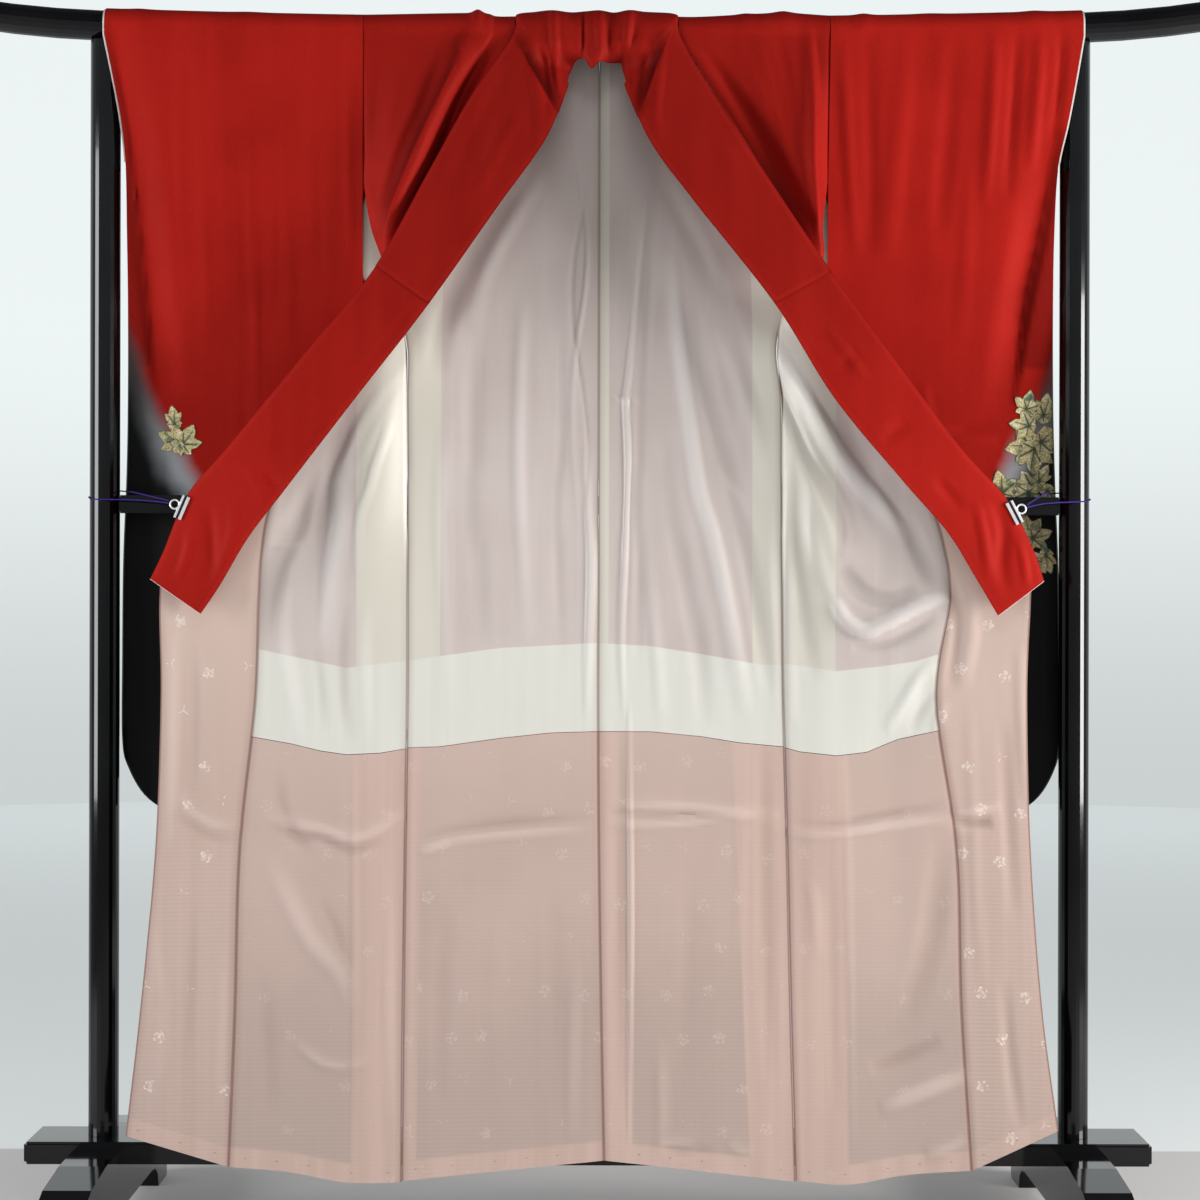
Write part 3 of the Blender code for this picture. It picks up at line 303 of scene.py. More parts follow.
FRONT_RIGHT_FOLDS = [
    (8, 12, -.2, 288, 1606, 295, 1513, 295, 1418, 302, 1345, 305, 1291),
    (-9, 20, .3, 140, 1562, 196, 1487, 243, 1407, 280, 1332, 301, 1288),
    (1.2, 14, 0, 190, 1588, 232, 1499, 262, 1428, 286, 1355),
    (-1.8, 10, 0, 244, 1595, 266, 1506, 276, 1418),
    (1, 8, 0, 214, 1595, 239, 1519, 260, 1432),
    (5.5, 21, -.35, 229, 1223, 256, 1170, 280, 1118, 318, 1045, 350, 1003, 384, 965, 422, 919),
    (-6, 26, .2, 249, 1139, 275, 1082, 292, 1030, 309, 995, 330, 945, 338, 904),
    (1.8, 7, .5, 253, 1133, 271, 1089, 291, 1041, 315, 998, 334, 951, 337, 919, 331, 898, 344, 890),
    (-3.5, 18, 0, 380, 1011, 413, 945, 435, 893, 446, 854),
    (-3.5, 17, 0, 328, 886, 357, 851, 394, 841, 430, 857),
    (5, 14, .2, 319, 843, 336, 812, 362, 799, 394, 812, 428, 830, 467, 846),
    (1.6, 12, 0, 291, 945, 302, 893, 318, 846, 331, 817),
    (-2.5, 10, 0, 344, 778, 383, 781, 423, 799, 451, 817),
    (2.2, 12, .2, 451, 760, 430, 739, 408, 700, 387, 671),
    (-1.6, 11, 0, 453, 723, 436, 702, 420, 668),
    (1.4, 10, 0, 464, 710, 459, 689, 451, 668),
    (-2.4, 16, 0, 279, 1011, 276, 919, 284, 828, 294, 736),
    (1.8, 13, 0, 265, 1063, 261, 945, 263, 814, 266, 671),
    (2.2, 12, .2, 258, 537, 303, 534, 355, 540, 414, 549, 474, 555),
    (-1.8, 11, 0, 258, 548, 316, 545, 381, 559, 466, 573),
    (1, 12, 0, 287, 475, 296, 442, 300, 371),
    (-1.8, 24, 0, 465, 540, 454, 449, 440, 371, 414, 293),
    (2.2, 18, 0, 381, 176, 433, 199, 479, 218, 496, 225),
    (-1.8, 16, 0, 368, 228, 414, 246, 459, 267),
    (.9, 8, 0, 336, 632, 339, 501, 342, 319, 344, 124),
    (-.8, 12, 0, 318, 475, 320, 318, 323, 163),
    (1.6, 12, 0, 439, 119, 469, 127, 490, 140),
    (1.8, 14, 0, 479, 893, 503, 841, 498, 789, 486, 724),
    (-2.4, 12, 0, 462, 885, 479, 841, 480, 789, 470, 724),
    (-2.4, 10, 0, 477, 552, 499, 549, 526, 552),
    (1.8, 9, 0, 473, 565, 494, 565, 536, 573),
    (.9, 12, 0, 496, 711, 501, 581, 506, 451, 514, 334),
    (-1.4, 13, 0, 538, 685, 546, 555, 554, 425),
    (1.6, 12, 0, 560, 789, 564, 685, 570, 581),
    (-1.5, 12, 0, 541, 347, 549, 243, 562, 153),
]
BACK_FOLDS = [
    (2.2, 14, 0, -90, 1241, -93, 1133, -94, 1013, -88, 893, -82, 774),
    (1.6, 5, 0, -23, 1471, -14, 1404, -3, 1323, -8, 1241, -20, 1160, -23, 1066, -16, 946),
    (-1.4, 5, 0, -1, 1444, -8, 1370, -22, 1296, -23, 1214, -10, 1120, -2, 1039, -8, 946),
    (2.8, 9, .2, -6, 1053, -3, 973, 1, 893, -1, 787, -4, 682),
    (-1.8, 10, 0, -40, 1201, -37, 1066, -42, 919, -36, 761),
    (-2, 18, 0, -150, 1200, -154, 1066, -148, 919, -139, 774),
    (1.8, 16, 0, -191, 1079, -196, 946, -189, 813, -183, 681),
    (2.8, 6, .2, 76, 1391, 67, 1296, 62, 1242, 51, 1133, 47, 1101, 50, 1026, 46, 893, 42, 787, 46, 682),
    (-2.2, 10, 0, 91, 1444, 83, 1350, 78, 1242, 70, 1133, 67, 1013, 67, 893, 65, 761),
    (1.4, 5, 0, 30, 1117, 40, 1104, 56, 1109, 67, 1101),
    (4, 17, -.2, 111, 1309, 115, 1228, 134, 1080, 147, 986, 163, 933, 180, 854, 197, 761, 207, 682),
    (-3, 18, .2, 134, 1242, 152, 1134, 176, 1040, 195, 967, 210, 893, 223, 814, 236, 722),
    (1.6, 18, 0, 147, 1309, 177, 1215, 203, 1120, 221, 1040, 234, 960),
    (-2, 19, 0, 87, 1424, 134, 1330, 169, 1242, 200, 1161, 229, 1080),
    (1, 14, 0, 99, 1417, 139, 1350, 179, 1269, 214, 1201),
    (-2.4, 18, 0, 99, 1080, 110, 973, 128, 867, 147, 761, 154, 669),
    (1.6, 10, 0, 168, 1013, 184, 994, 203, 973, 210, 944),
    (1.6, 12, 0, 80, 893, 88, 787, 94, 682),
    (2, 13, 0, 248, 1000, 242, 894, 247, 788, 252, 682),
    (2.4, 18, 0, -227, 1160, -214, 1241, -185, 1322, -148, 1390),
    (-3, 21, 0, -205, 1133, -190, 1214, -153, 1309, -108, 1390),
    (2, 16, 0, -160, 1200, -137, 1282, -94, 1363, -61, 1417),
    (2.0, 10, .2, 20, 574, 52, 569, 94, 569, 147, 567, 199, 561, 257, 558),
    (-1.4, 9, 0, 23, 561, 81, 556, 147, 555, 257, 547),
    (2.0, 10, 0, 20, 551, 52, 545, 120, 548, 186, 554, 257, 546),
    (1.8, 12, 0, -231, 511, -195, 520, -155, 528, -77, 535, 4, 541),
    (-1.6, 12, 0, -228, 526, -182, 537, -90, 548, 2, 553),
    (1.4, 10, 0, -222, 508, -198, 516, -182, 524),
    (2.2, 5, .3, 52, 708, 53, 629, 54, 540, 55, 420, 54, 264, 53, 121),
    (-.8, 12, 0, 37, 682, 39, 551, 39, 381, 37, 185),
    (.6, 12, 0, 198, 682, 199, 577, 199, 473, 196, 368),
    (-1.4, 16, 0, 228, 656, 231, 512, 233, 368, 236, 212),
    (-1.4, 18, 0, -187, 446, -192, 315, -194, 172),
    (.7, 18, 0, -116, 472, -118, 315, -115, 146),
    (-.8, 18, 0, -48, 472, -42, 315, -44, 172),
    (1.3, 13, 0, -17, 368, -20, 237, -21, 120),
    (-.8, 20, 0, 133, 472, 128, 329, 126, 186),
    (1.4, 13, 0, 94, 264, 97, 173, 94, 108),
    (1.2, 9, 0, 92, 130, 115, 131, 139, 130),
    (1.2, 9, 0, 181, 131, 196, 123, 215, 118),
    (-1.4, 6, 0, 100, 121, 134, 118, 168, 121),
]
SLEEVE_LEFT_FOLDS = [
    (-8, 26, .72, -636, 1606, -625, 1533, -609, 1434, -595, 1302, -585, 1183, -577, 1103),
    (-2.4, 10, 0, -639, 1580, -625, 1487, -612, 1408, -603, 1303, -598, 1224),
    (-1.2, 7, 0, -562, 1593, -556, 1474, -549, 1342, -543, 1211),
    (.9, 9, 0, -522, 1601, -517, 1487, -511, 1342, -509, 1185),
    (-1.2, 4, 0, -469, 1514, -463, 1395, -458, 1264, -459, 1133, -463, 1053),
    (1.2, 4, 0, -456, 1527, -450, 1408, -446, 1290, -445, 1159, -448, 1067),
    (-.8, 6, 0, -419, 1554, -416, 1435, -414, 1316, -418, 1199),
    (1.2, 4, 0, -400, 1435, -399, 1329, -399, 1238, -400, 1168),
    (-.8, 7, 0, -363, 1567, -360, 1448, -358, 1329, -356, 1238),
    (1.6, 8, .2, -322, 1559, -322, 1475, -319, 1369, -316, 1275),
    (-2, 5, 0, -309, 1594, -309, 1514, -309, 1435),
    (1.6, 12, 0, -592, 892, -589, 758, -589, 624),
    (-1.6, 10, 0, -611, 919, -609, 785, -606, 651),
]
SLEEVE_RIGHT_FOLDS = [
    (2.2, 11, 0, 336, 1600, 339, 1500, 344, 1400, 352, 1290),
    (-2.2, 14, 0, 365, 1598, 369, 1500, 372, 1400, 369, 1300),
    (2.4, 20, 0, 420, 1600, 413, 1500, 403, 1400, 392, 1290),
    (-3, 18, 0, 484, 1605, 478, 1520, 470, 1430, 462, 1330),
    (4, 12, 0, 537, 1608, 535, 1540, 529, 1450, 522, 1360),
    (-4, 11, 0, 566, 1608, 563, 1540, 557, 1450, 551, 1370),
    (4, 11, 0, 594, 1606, 594, 1550, 589, 1480, 584, 1410),
    (-4, 9, 0, 622, 1606, 624, 1560, 619, 1500, 612, 1450),
    (1.2, 16, 0, 505, 1420, 498, 1300, 494, 1180),
    (-8, 26, -.72, 622, 1474, 612, 1424, 605, 1371, 594, 1305, 584, 1258, 577, 1212, 569, 1147, 562, 1096),
    (-2, 5, 0, 477, 1073, 504, 1070, 544, 1069),
    (1.2, 8, 0, 482, 1058, 512, 1054, 547, 1055),
    (1.6, 10, 0, 446, 1135, 455, 1082, 478, 1029),
    (1.6, 10, 0, 607, 895, 610, 761, 610, 640),
    (-1.6, 10, 0, 320, 1582, 321, 1502, 321, 1410),
]
COLLAR_FOLDS = [
    (5, 7, 0, -49, 1618, -48, 1589, -45, 1550, -40, 1505),
    (-3, 9, 0, -67, 1586, -62, 1539, -54, 1481),
    (2, 9, 0, -83, 1594, -77, 1539, -66, 1481, -68, 1428),
    (-4.5, 6, .2, -10, 1620, -10, 1588, -11, 1545),
    (3, 8, 0, 11, 1618, 13, 1580, 14, 1550),
    (5, 7, 0, 52, 1618, 49, 1589, 47, 1550, 50, 1505),
    (-3, 10, 0, 76, 1586, 73, 1539, 67, 1475),
    (2, 9, 0, 95, 1592, 92, 1539, 86, 1475, 94, 1429),
    (-1.8, 6, 0, 23, 1606, 23, 1567),
    (-1.6, 16, 0, -111, 1544, -132, 1497, -160, 1428, -180, 1375),
    (-1.6, 16, 0, 145, 1545, 168, 1492, 193, 1429, 217, 1381),
    (1.4, 12, 0, -92, 1483, -118, 1428, -151, 1361),
    (-1.4, 13, 0, -220, 1228, -258, 1176, -307, 1113),
    (1.3, 13, 0, -199, 1202, -240, 1142, -281, 1093),
    (-2.4, 12, 0, -423, 1007, -405, 986, -386, 976),
    (1.6, 10, 0, -441, 1017, -417, 968, -399, 953),
    (-2.6, 12, 0, -496, 968, -490, 942, -487, 891, -492, 858),
    (2, 10, 0, -515, 932, -518, 901, -531, 865),
    (2, 12, 0, -461, 968, -459, 929, -471, 878),
    (-1.3, 12, 0, 322, 1137, 335, 1151, 350, 1162),
    (-1.5, 11, 0, 378, 1042, 394, 1058, 411, 1071),
    (1.5, 10, 0, 306, 1190, 332, 1162, 360, 1125),
    (-2.6, 13, 0, 526, 970, 536, 932, 533, 890, 536, 854),
    (2, 10, 0, 500, 970, 510, 919, 515, 867),
    (1.8, 9, 0, 554, 924, 562, 893, 565, 857),
    (-1.6, 12, 0, 448, 999, 463, 978, 482, 960),
]

# Shade lying in the deepest folds of the outer cloth, in millimetres: its depth from 0 to 1, how
# far it reaches, the side of its path on which it lies, -1 left, 1 right or 0 both, and the way.
FRONT_LEFT_SHADES = [
    (.78, 34, -1, -156, 1606, -176, 1548, -200, 1496, -230, 1430, -259, 1358, -272, 1310),
    (.84, 12, 0, -106, 1574, -121, 1548, -153, 1496, -194, 1430, -236, 1364, -268, 1314),
]
FRONT_RIGHT_SHADES = [
    (.90, 32, 1, 123, 1570, 133, 1556, 168, 1499, 207, 1436, 249, 1371, 284, 1318, 302, 1292),
    (.66, 36, 1, 176, 1490, 207, 1436, 249, 1371, 290, 1308),
]
COLLAR_SHADES = [
    (.93, 36, 1, -106, 1590, -84, 1546, -55, 1496, -43, 1466),
    (.93, 32, -1, 108, 1598, 90, 1544, 74, 1496, 63, 1464),
]
SLEEVE_LEFT_SHADES = [
    (.55, 110, -1, -637, 1612, -625, 1533, -609, 1434, -595, 1302, -585, 1183, -572, 1060),
]
SLEEVE_RIGHT_SHADES = [
    (.55, 110, 1, 620, 1470, 611, 1417, 605, 1371, 594, 1305, 584, 1258, 577, 1212, 569, 1147, 556, 1060),
]
# The unlit upper part of the collar and of the fronts beside it: depth, and the heights between
# which it sets in
COLLAR_TOP_SHADE = (.24, 1.05, 1.42)
FRONT_TOP_SHADE = (.18, 1.25, 1.50)
# Small bumps of the cloth where folds cross the top of the bar: x, height and half width in metres
LEFT_BUMPS = [(-.150, .0048, .007)]
RIGHT_BUMPS = [(.256, .0024, .013), (.205, .0012, .010)]
SLEEVE_LEFT_BUMPS = [(-.455, .0008, .020), (-.60, .0010, .014)]
SLEEVE_RIGHT_BUMPS = [(.363, .0022, .011), (.450, .0009, .020), (.590, .0014, .015)]

# The seam between cream and pink lining, and the lower edge of the tint that shows through the
# cream, as (x, z) in millimetres. Nearer the vertical seams the cream is doubled.
SEAM_FRONT_LEFT = ((-440, 661), (-387, 651), (-351, 642), (-317, 637), (-273, 639), (-232, 646))
SEAM_FRONT_RIGHT = ((258, 647), (276, 642), (325, 637), (364, 642), (404, 659), (461, 672))
SEAM_BACK = ((-237, 646), (-196, 647), (-117, 658), (-51, 665), (11, 667), (81, 667),
             (147, 661), (199, 653), (257, 648))
TINT_FRONT_LEFT = ((-433, 775), (-387, 765), (-318, 750), (-235, 760))
TINT_FRONT_RIGHT = ((263, 756), (324, 747), (391, 755), (428, 761), (453, 769))
TINT_BACK = ((-235, 760), (-177, 768), (-118, 776), (10, 783), (81, 779), (147, 769), (226, 755))

# Where the red turns to black on the sleeves and on the garment's back, as (x, z) in millimetres.
SHADE_SLEEVE_LEFT = ((-660, 1290), (-613, 1165), (-597, 1120), (-580, 1076), (-560, 1038),
                     (-542, 1006), (-523, 973), (-442, 839), (-300, 700))
SHADE_SLEEVE_RIGHT = ((300, 700), (470, 841), (530, 948), (550, 982), (564, 1016), (603, 1076),
                      (625, 1146), (660, 1210))
SHADE_BODY = ((-310, 700), (-180, 610), (-60, 560), (40, 590), (160, 690), (320, 820))

# Leaves: x, z and length in millimetres, turn of the tip in degrees, and a shape of lobes.
FRONT_LEAVES = [
    (-556, 1074, 26, 97, 2), (-553, 1050, 29, 152, 0), (-545, 1047, 31, 60, 1), (-549, 1046, 15, 275, 2),
    (607, 1088, 32, 80, 2), (612, 1062, 33, 250, 2), (584, 1096, 27, 78, 1), (588, 1074, 28, 172, 0),
    (590, 1047, 35, 186, 1), (596, 1044, 37, 268, 0), (604, 1052, 29, 20, 1), (553, 984, 33, 100, 0),
    (592, 994, 30, 178, 1), (602, 1000, 27, 60, 2), (588, 986, 33, 264, 0), (614, 988, 27, 280, 2),
    (590, 928, 33, 110, 1), (594, 924, 29, 20, 0), (597, 896, 29, 255, 1), (612, 902, 27, 285, 2),
]
BACK_LEAVES = [
    (-548, 1070, 24, 60, 0), (-572, 1040, 23, 150, 1), (-540, 1018, 25, 250, 0), (-500, 930, 24, 100, 2),
    (-478, 900, 24, 10, 0), (-380, 762, 27, 120, 1), (-350, 740, 24, 20, 0), (568, 1085, 25, 110, 1),
    (598, 1062, 25, 20, 0), (560, 1040, 27, 250, 0), (524, 950, 24, 80, 2), (500, 922, 25, 190, 1),
    (414, 800, 27, 60, 0), (388, 778, 24, 160, 1), (-238, 660, 28, 70, 0), (-212, 632, 27, 320, 1),
    (-120, 574, 30, 110, 0), (-92, 548, 27, 10, 2), (-30, 506, 28, 200, 1), (96, 622, 30, 60, 0),
    (126, 600, 27, 330, 1), (60, 570, 25, 190, 2), (208, 720, 30, 100, 1), (236, 700, 27, 20, 0),
    (180, 686, 25, 210, 2), (-180, 420, 28, 140, 0), (30, 380, 27, 50, 1), (190, 470, 28, 230, 0),
    (-60, 240, 28, 100, 2), (150, 260, 27, 20, 0), (-466, 700, 25, 220, 2), (480, 720, 25, 120, 0),
]

# How many points there are across each kind of panel, and how far its rows are apart
BODY_ACROSS = 76
OKUMI_ACROSS = 32
SLEEVE_ACROSS = 60
BAND_ACROSS = 40
STEP = 0.0065
# How much deeper than in the tables folds are that run up and down, and that run across
DEEPER_UPRIGHT = 1.05
DEEPER_ACROSS = 1.8
# Fold height at which the painted highlight on a lining's ridges and the painted shade in its troughs are
# full
CREST_HEIGHT = 0.0036
SEAM_DEPTH = 0.0011
SEAM_ROLL = 0.0035
RAIL_HEIGHT = 0.966
# The y up to which a place is on the garment's front
FRONT_SIDE = .004
# Heights at which folds have died out: above on the front, above on the back, and at a sleeve's foot
FOLD_TOP = 1.606
BACK_FOLD_TOP = 1.575
SLEEVE_FOLD_FOOT = (.55, .62)
# How far out the back panels reach behind the slits under the armholes, and between which heights
SLIT_COVERS = {-1: -.3045, 1: .3190}
SLIT_COVER_TOP = 1.396
SLIT_COVER_FOOT = 1.225
# How much of its folds and of the drift the stiff collar takes, and how far it is domed and sunk
COLLAR_FOLD_SHARE = 1.25
COLLAR_DRIFT_SHARE = .6
COLLAR_DOME = .0011
COLLAR_SINK = .0006
# Height below which an overlap is black
OKUMI_BLACK_HEIGHT = .62
# Stitches above the hem: their height, the first one's place, and the way from one to the next
STITCH_HEIGHT = .010
STITCH_START = .022
STITCH_PITCH = .047
FINE_STEP = 0.0062
BAND_STEP = 0.0075
NECK_STEP = 0.0032
# Guide rows of the collar between which its rows lie closest
NECK_ROWS = (6.7, 21.3)
# How far the sleeve's closed edges bow out, and how many points lie between its two layers there
SLEEVE_BOW = .0030
SLEEVE_SEAM_POINTS = 3
LEAF_RINGS = 4
LEAF_SPOKES = 60
SHARP_EDGE = math.radians(55)
# Attributes of a whole piece: edge where no edge is in sight, dark where all is red, and double
# where no cloth is doubled
NO_EDGE = .05
ALL_RED = -.2
NOT_DOUBLED = -.05


# The cloth's surfaces

def bar_height(x):
    """Height of the bar's centre line."""
    beyond = np.maximum(0.0, np.abs(x) - POST_X) / (BAR_HALF_LENGTH - POST_X)
    return BAR_MIDDLE_HEIGHT + BAR_RISE_AT_POST * (x / POST_X) ** 2 + BAR_TIP_RISE * beyond ** 2


def hang(cloth):
    """World places of cloth that is given as (x, drop, out)."""
    x, drop, out = cloth[..., 0], cloth[..., 1], cloth[..., 2]
    angle = np.clip(drop, -QUARTER, QUARTER) / FACE
    below = np.maximum(np.abs(drop) - QUARTER, 0.0)
    reach = FACE + out
    return np.stack([x, -reach * np.sin(angle), bar_height(x) + reach * np.cos(angle) - below], -1)


def front_cloth(points):
    """Hanging coordinates of places (x, y, z) below the bar, on the front side."""
    points = np.asarray(points, float)
    x, y, z = points[..., 0], points[..., 1], points[..., 2]
    return np.stack([x, QUARTER + bar_height(x) - z, -y - FACE], -1)


def back_cloth(x, y, z):
    """Hanging coordinates of places below the bar, on the back side."""
    return np.stack([x, z - QUARTER - bar_height(x), y - FACE], -1)


def unrolled(cloth):
    """Height at which each place of the cloth would be if it ran straight up at the bar."""
    return bar_height(cloth[..., 0]) + QUARTER - np.abs(cloth[..., 1])


def curve(points, positions):
    """The smooth curve through points, at positions counted in them.

    A table of positions, one column for each column of points, gives a table of places.
    """
    points = np.asarray(points, float)
    positions = np.asarray(positions, float)
    last = len(points) - 1
    index = np.clip(np.floor(positions).astype(int), 0, last - 1)
    ends = np.concatenate([[2 * points[0] - points[1]], points, [2 * points[-1] - points[-2]]])
    if positions.ndim == 2:
        columns = np.arange(points.shape[1])
        before, start, end, after = (ends[index + k, columns] for k in range(4))
        share = (positions - index)[..., None]
    else:
        before, start, end, after = (ends[index + k] for k in range(4))
        share = (positions - index).reshape((-1,) + (1,) * (points.ndim - 1))
    square, cube = share ** 2, share ** 3
    leave, arrive = (end - before) / 2, (after - start) / 2
    return (start * (2 * cube - 3 * square + 1) + leave * (cube - 2 * square + share)
            + end * (3 * square - 2 * cube) + arrive * (cube - square))


def across(guides, count):
    """Columns of guide points, spread smoothly across the guides of each level."""
    guides = np.asarray(guides, float)
    places = np.linspace(0, guides.shape[1] - 1, count)
    return curve(guides.swapaxes(0, 1), places).swapaxes(0, 1)


def between(first, second, shares):
    """Columns of guide points on straight lines from the first points to the second."""
    shares = np.asarray(shares, float)[None, :, None]
    return first[:, None] + (second - first)[:, None] * shares


def even(columns, first, last, step):
    """Positions from first to last, about step metres apart on the middle column."""
    fine = np.linspace(first, last, 600)
    line = curve(columns[:, columns.shape[1] // 2], fine)
    length = np.concatenate([[0], np.cumsum(np.linalg.norm(np.diff(line, axis=0), axis=1))])
    count = max(2, int(round(length[-1] / step)))
    return np.interp(np.linspace(0, length[-1], count + 1), length, fine)


def normals(grid):
    along = np.empty_like(grid)
    over = np.empty_like(grid)
    along[1:-1] = grid[2:] - grid[:-2]
    along[0], along[-1] = grid[1] - grid[0], grid[-1] - grid[-2]
    over[:, 1:-1] = grid[:, 2:] - grid[:, :-2]
    over[:, 0], over[:, -1] = grid[:, 1] - grid[:, 0], grid[:, -1] - grid[:, -2]
    way = np.cross(along, over)
    return way / np.maximum(np.linalg.norm(way, axis=-1, keepdims=True), 1e-12)


def smooth_step(value, low, high):
    share = np.clip((value - low) / (high - low), 0.0, 1.0)
    return share * share * (3 - 2 * share)


def to_path(x, z, path):
    """Distance of places to a path, on which side of it they are, and the share along it."""
    steps = np.linalg.norm(np.diff(path, axis=0), axis=1)
    starts = np.concatenate([[0], np.cumsum(steps)])
    near = np.full(x.shape, 9.0)
    side = np.zeros(x.shape)
    share = np.zeros(x.shape)
    for k, length in enumerate(steps):
        way = (path[k + 1] - path[k]) / length
        dx, dz = x - path[k, 0], z - path[k, 1]
        along = np.clip(dx * way[0] + dz * way[1], 0.0, length)
        away = np.hypot(dx - along * way[0], dz - along * way[1])
        closer = away < near
        near = np.where(closer, away, near)
        side = np.where(closer, np.sign(dz * way[0] - dx * way[1]), side)
        share = np.where(closer, (starts[k] + along) / starts[-1], share)
    return near, side, share


def folds(table, x, z):
    """How far the folds of a table lift the cloth at the places x, z."""
    lift = np.zeros(x.shape)
    for height, half_width, lean, *way in table:
        path = np.array(way).reshape(-1, 2) / 1000
        path = curve(path, np.linspace(0, len(path) - 1, 3 * len(path) - 2))
        reach = half_width / 1000 * (1 + abs(lean))
        low, high = path.min(0) - reach, path.max(0) + reach
        here = (x > low[0]) & (x < high[0]) & (z > low[1]) & (z < high[1])
        if not here.any():
            continue
        near, side, share = to_path(x[here], z[here], path)
        width = half_width / 1000 * (1 + lean * side)
        rise = np.clip(1 - (near / width) ** 2, 0.0, 1.0) ** 2
        ends = np.sin(np.pi * np.clip(share, 0.0, 1.0)) ** .6
        run, climb = path[-1] - path[0]
        level = run ** 2 / (run ** 2 + climb ** 2)
        deeper = DEEPER_UPRIGHT + (DEEPER_ACROSS - DEEPER_UPRIGHT) * level ** 1.5
        lift[here] += deeper * height / 1000 * rise * ends
    return lift


def shades(table, grid):
    """How deep in shade each place on the front of a cloth lies, from 0 to 1."""
    x, z = grid[..., 0], grid[..., 2]
    depth = np.zeros(x.shape)
    for deepest, reach, shaded, *way in table:
        near, side, share = to_path(x, z, np.array(way).reshape(-1, 2) / 1000)
        fade = 1 - smooth_step(near, 0, reach / 1000)
        if shaded:
            fade *= smooth_step(near * side * shaded, -.0022, .0022)
        fade *= np.sin(np.pi * np.clip(share, 0.0, 1.0)) ** .5
        depth = np.maximum(depth, deepest * fade)
    return depth * (grid[..., 1] < FRONT_SIDE)


def crests(table, grid):
    """Where the folds of a lining rise and sink, from 1 on a ridge to -1 in a trough."""
    return np.clip(folds(table, grid[..., 0], grid[..., 2]) / CREST_HEIGHT, -1, 1)


def top_shade(grid, setting):
    depth, low, high = setting
    return depth * smooth_step(grid[..., 2], low, high) * (grid[..., 1] < FRONT_SIDE)


def bumps(table, x):
    """How far the bumps of a table lift the cloth at the places x."""
    return sum(height * np.exp(-((x - middle) / width) ** 2) for middle, height, width in table)


def drift(x, z):
    """A slight unevenness of all hanging cloth."""
    return (.00022 * np.sin(53 * x + 7 * z + 1.3) * np.sin(9 * z - 17 * x)
            + .00010 * np.sin(97 * x - 13 * z + .4) * np.sin(23 * z + 41 * x + 2.0)
            + .00040 * np.sin(23 * x + 5 * z + 2.2) * np.sin(11 * z - 9 * x + .7))


def band_middle(bands):
    return np.array([((b.outer[0] + b.inner[0]) / 2, (b.outer[2] + b.inner[2]) / 2) for b in bands])


def off_collar(x, z, bands):
    """0 under the collar, rising to 1 a little way from it."""
    near = to_path(x, z, band_middle(bands))[0]
    return smooth_step(near, BAND_HALF_WIDTH - .004, BAND_HALF_WIDTH + .024)


def from_edge(rows):
    """Distance of each place from the nearer of a panel's two long edges."""
    steps = np.linalg.norm(np.diff(rows, axis=1), axis=-1)
    place = np.concatenate([np.zeros((len(rows), 1)), np.cumsum(steps, axis=1)], axis=1)
    return np.minimum(place, place[:, -1:] - place)


def rolled(rows):
    """How far a panel's long edges turn in, where they are sewn to the next panel."""
    return SEAM_DEPTH * np.exp(-(from_edge(rows) / SEAM_ROLL) ** 2)


def panel_front(half, columns, positions):
    """Cloth of a front panel or an overlap, with its folds."""
    rows = curve(columns, positions)
    x, z = rows[..., 0], unrolled(rows)
    lift = folds(half.folds, x, z) + drift(x, z)
    rows[..., 2] += lift * off_collar(x, z, half.bands) * smooth_step(FOLD_TOP - z, 0, .03)
    rows[..., 2] -= rolled(rows)
    return rows


def front_columns(levels):
    guides = [[level.side, level.ridge, level.valley, level.seam] for level in levels]
    return across(front_cloth(guides), BODY_ACROSS)


def okumi_columns(side, levels):
    seam = front_cloth([level.seam for level in levels]) + np.array([side * SEAM, 0, 0])
    edge = front_cloth([level.edge or level.seam for level in levels])
    return between(seam, edge, np.linspace(0, 1, OKUMI_ACROSS))


def back_shares(side):
    """Places across a back panel, closer together where its finest creases run."""
    even_places = np.linspace(0, 1, 400)
    crowd = 1 + 1.8 * np.exp(-((even_places - (.93 if side < 0 else .835)) / .045) ** 2)
    total = np.cumsum(crowd) - crowd[0]
    return np.interp(np.linspace(0, total[-1], BODY_ACROSS), total, even_places)


def back_columns(side):
    share = back_shares(side)[None, :]

    def value(name):
        return np.array([getattr(row, name) for row in BACK])[:, None]

    side_x = value("left") if side < 0 else value("right")
    centre_x = value("centre_x") + side * GAP / 2
    x = side_x + (centre_x - side_x) * share
    y = value("middle_y") + (value("side_y") - value("middle_y")) * (1 - share) ** 2
    z = value("side_z") + (value("centre_z") - value("side_z")) * share
    return back_cloth(x, y, z)


def panel_back(side, columns, positions):
    """Cloth of a back panel, with its folds, which lift towards the lining's side."""
    rows = curve(columns, positions)
    place = np.linspace(0, 1, rows.shape[1])[None, :]
    z = unrolled(rows)
    cover = (SLIT_COVERS[side] - rows[:, :1, 0]) * (1 - place) ** 3
    cover = cover * smooth_step(SLIT_COVER_TOP - z, 0, .03)
    rows[..., 0] += cover * smooth_step(z - SLIT_COVER_FOOT, 0, .05)
    x = rows[..., 0]
    lift = (folds(BACK_FOLDS, x, z) + drift(x, z)) * smooth_step(place, 0, .07)
    lift = np.where(lift < 0, lift * smooth_step(np.abs(z - RAIL_HEIGHT), .02, .07), lift)
    lift = lift - rolled(rows) * smooth_step(np.abs(z - RAIL_HEIGHT), .02, .05)
    rows[..., 2] -= lift * smooth_step(BACK_FOLD_TOP - z, 0, .06)
    return rows


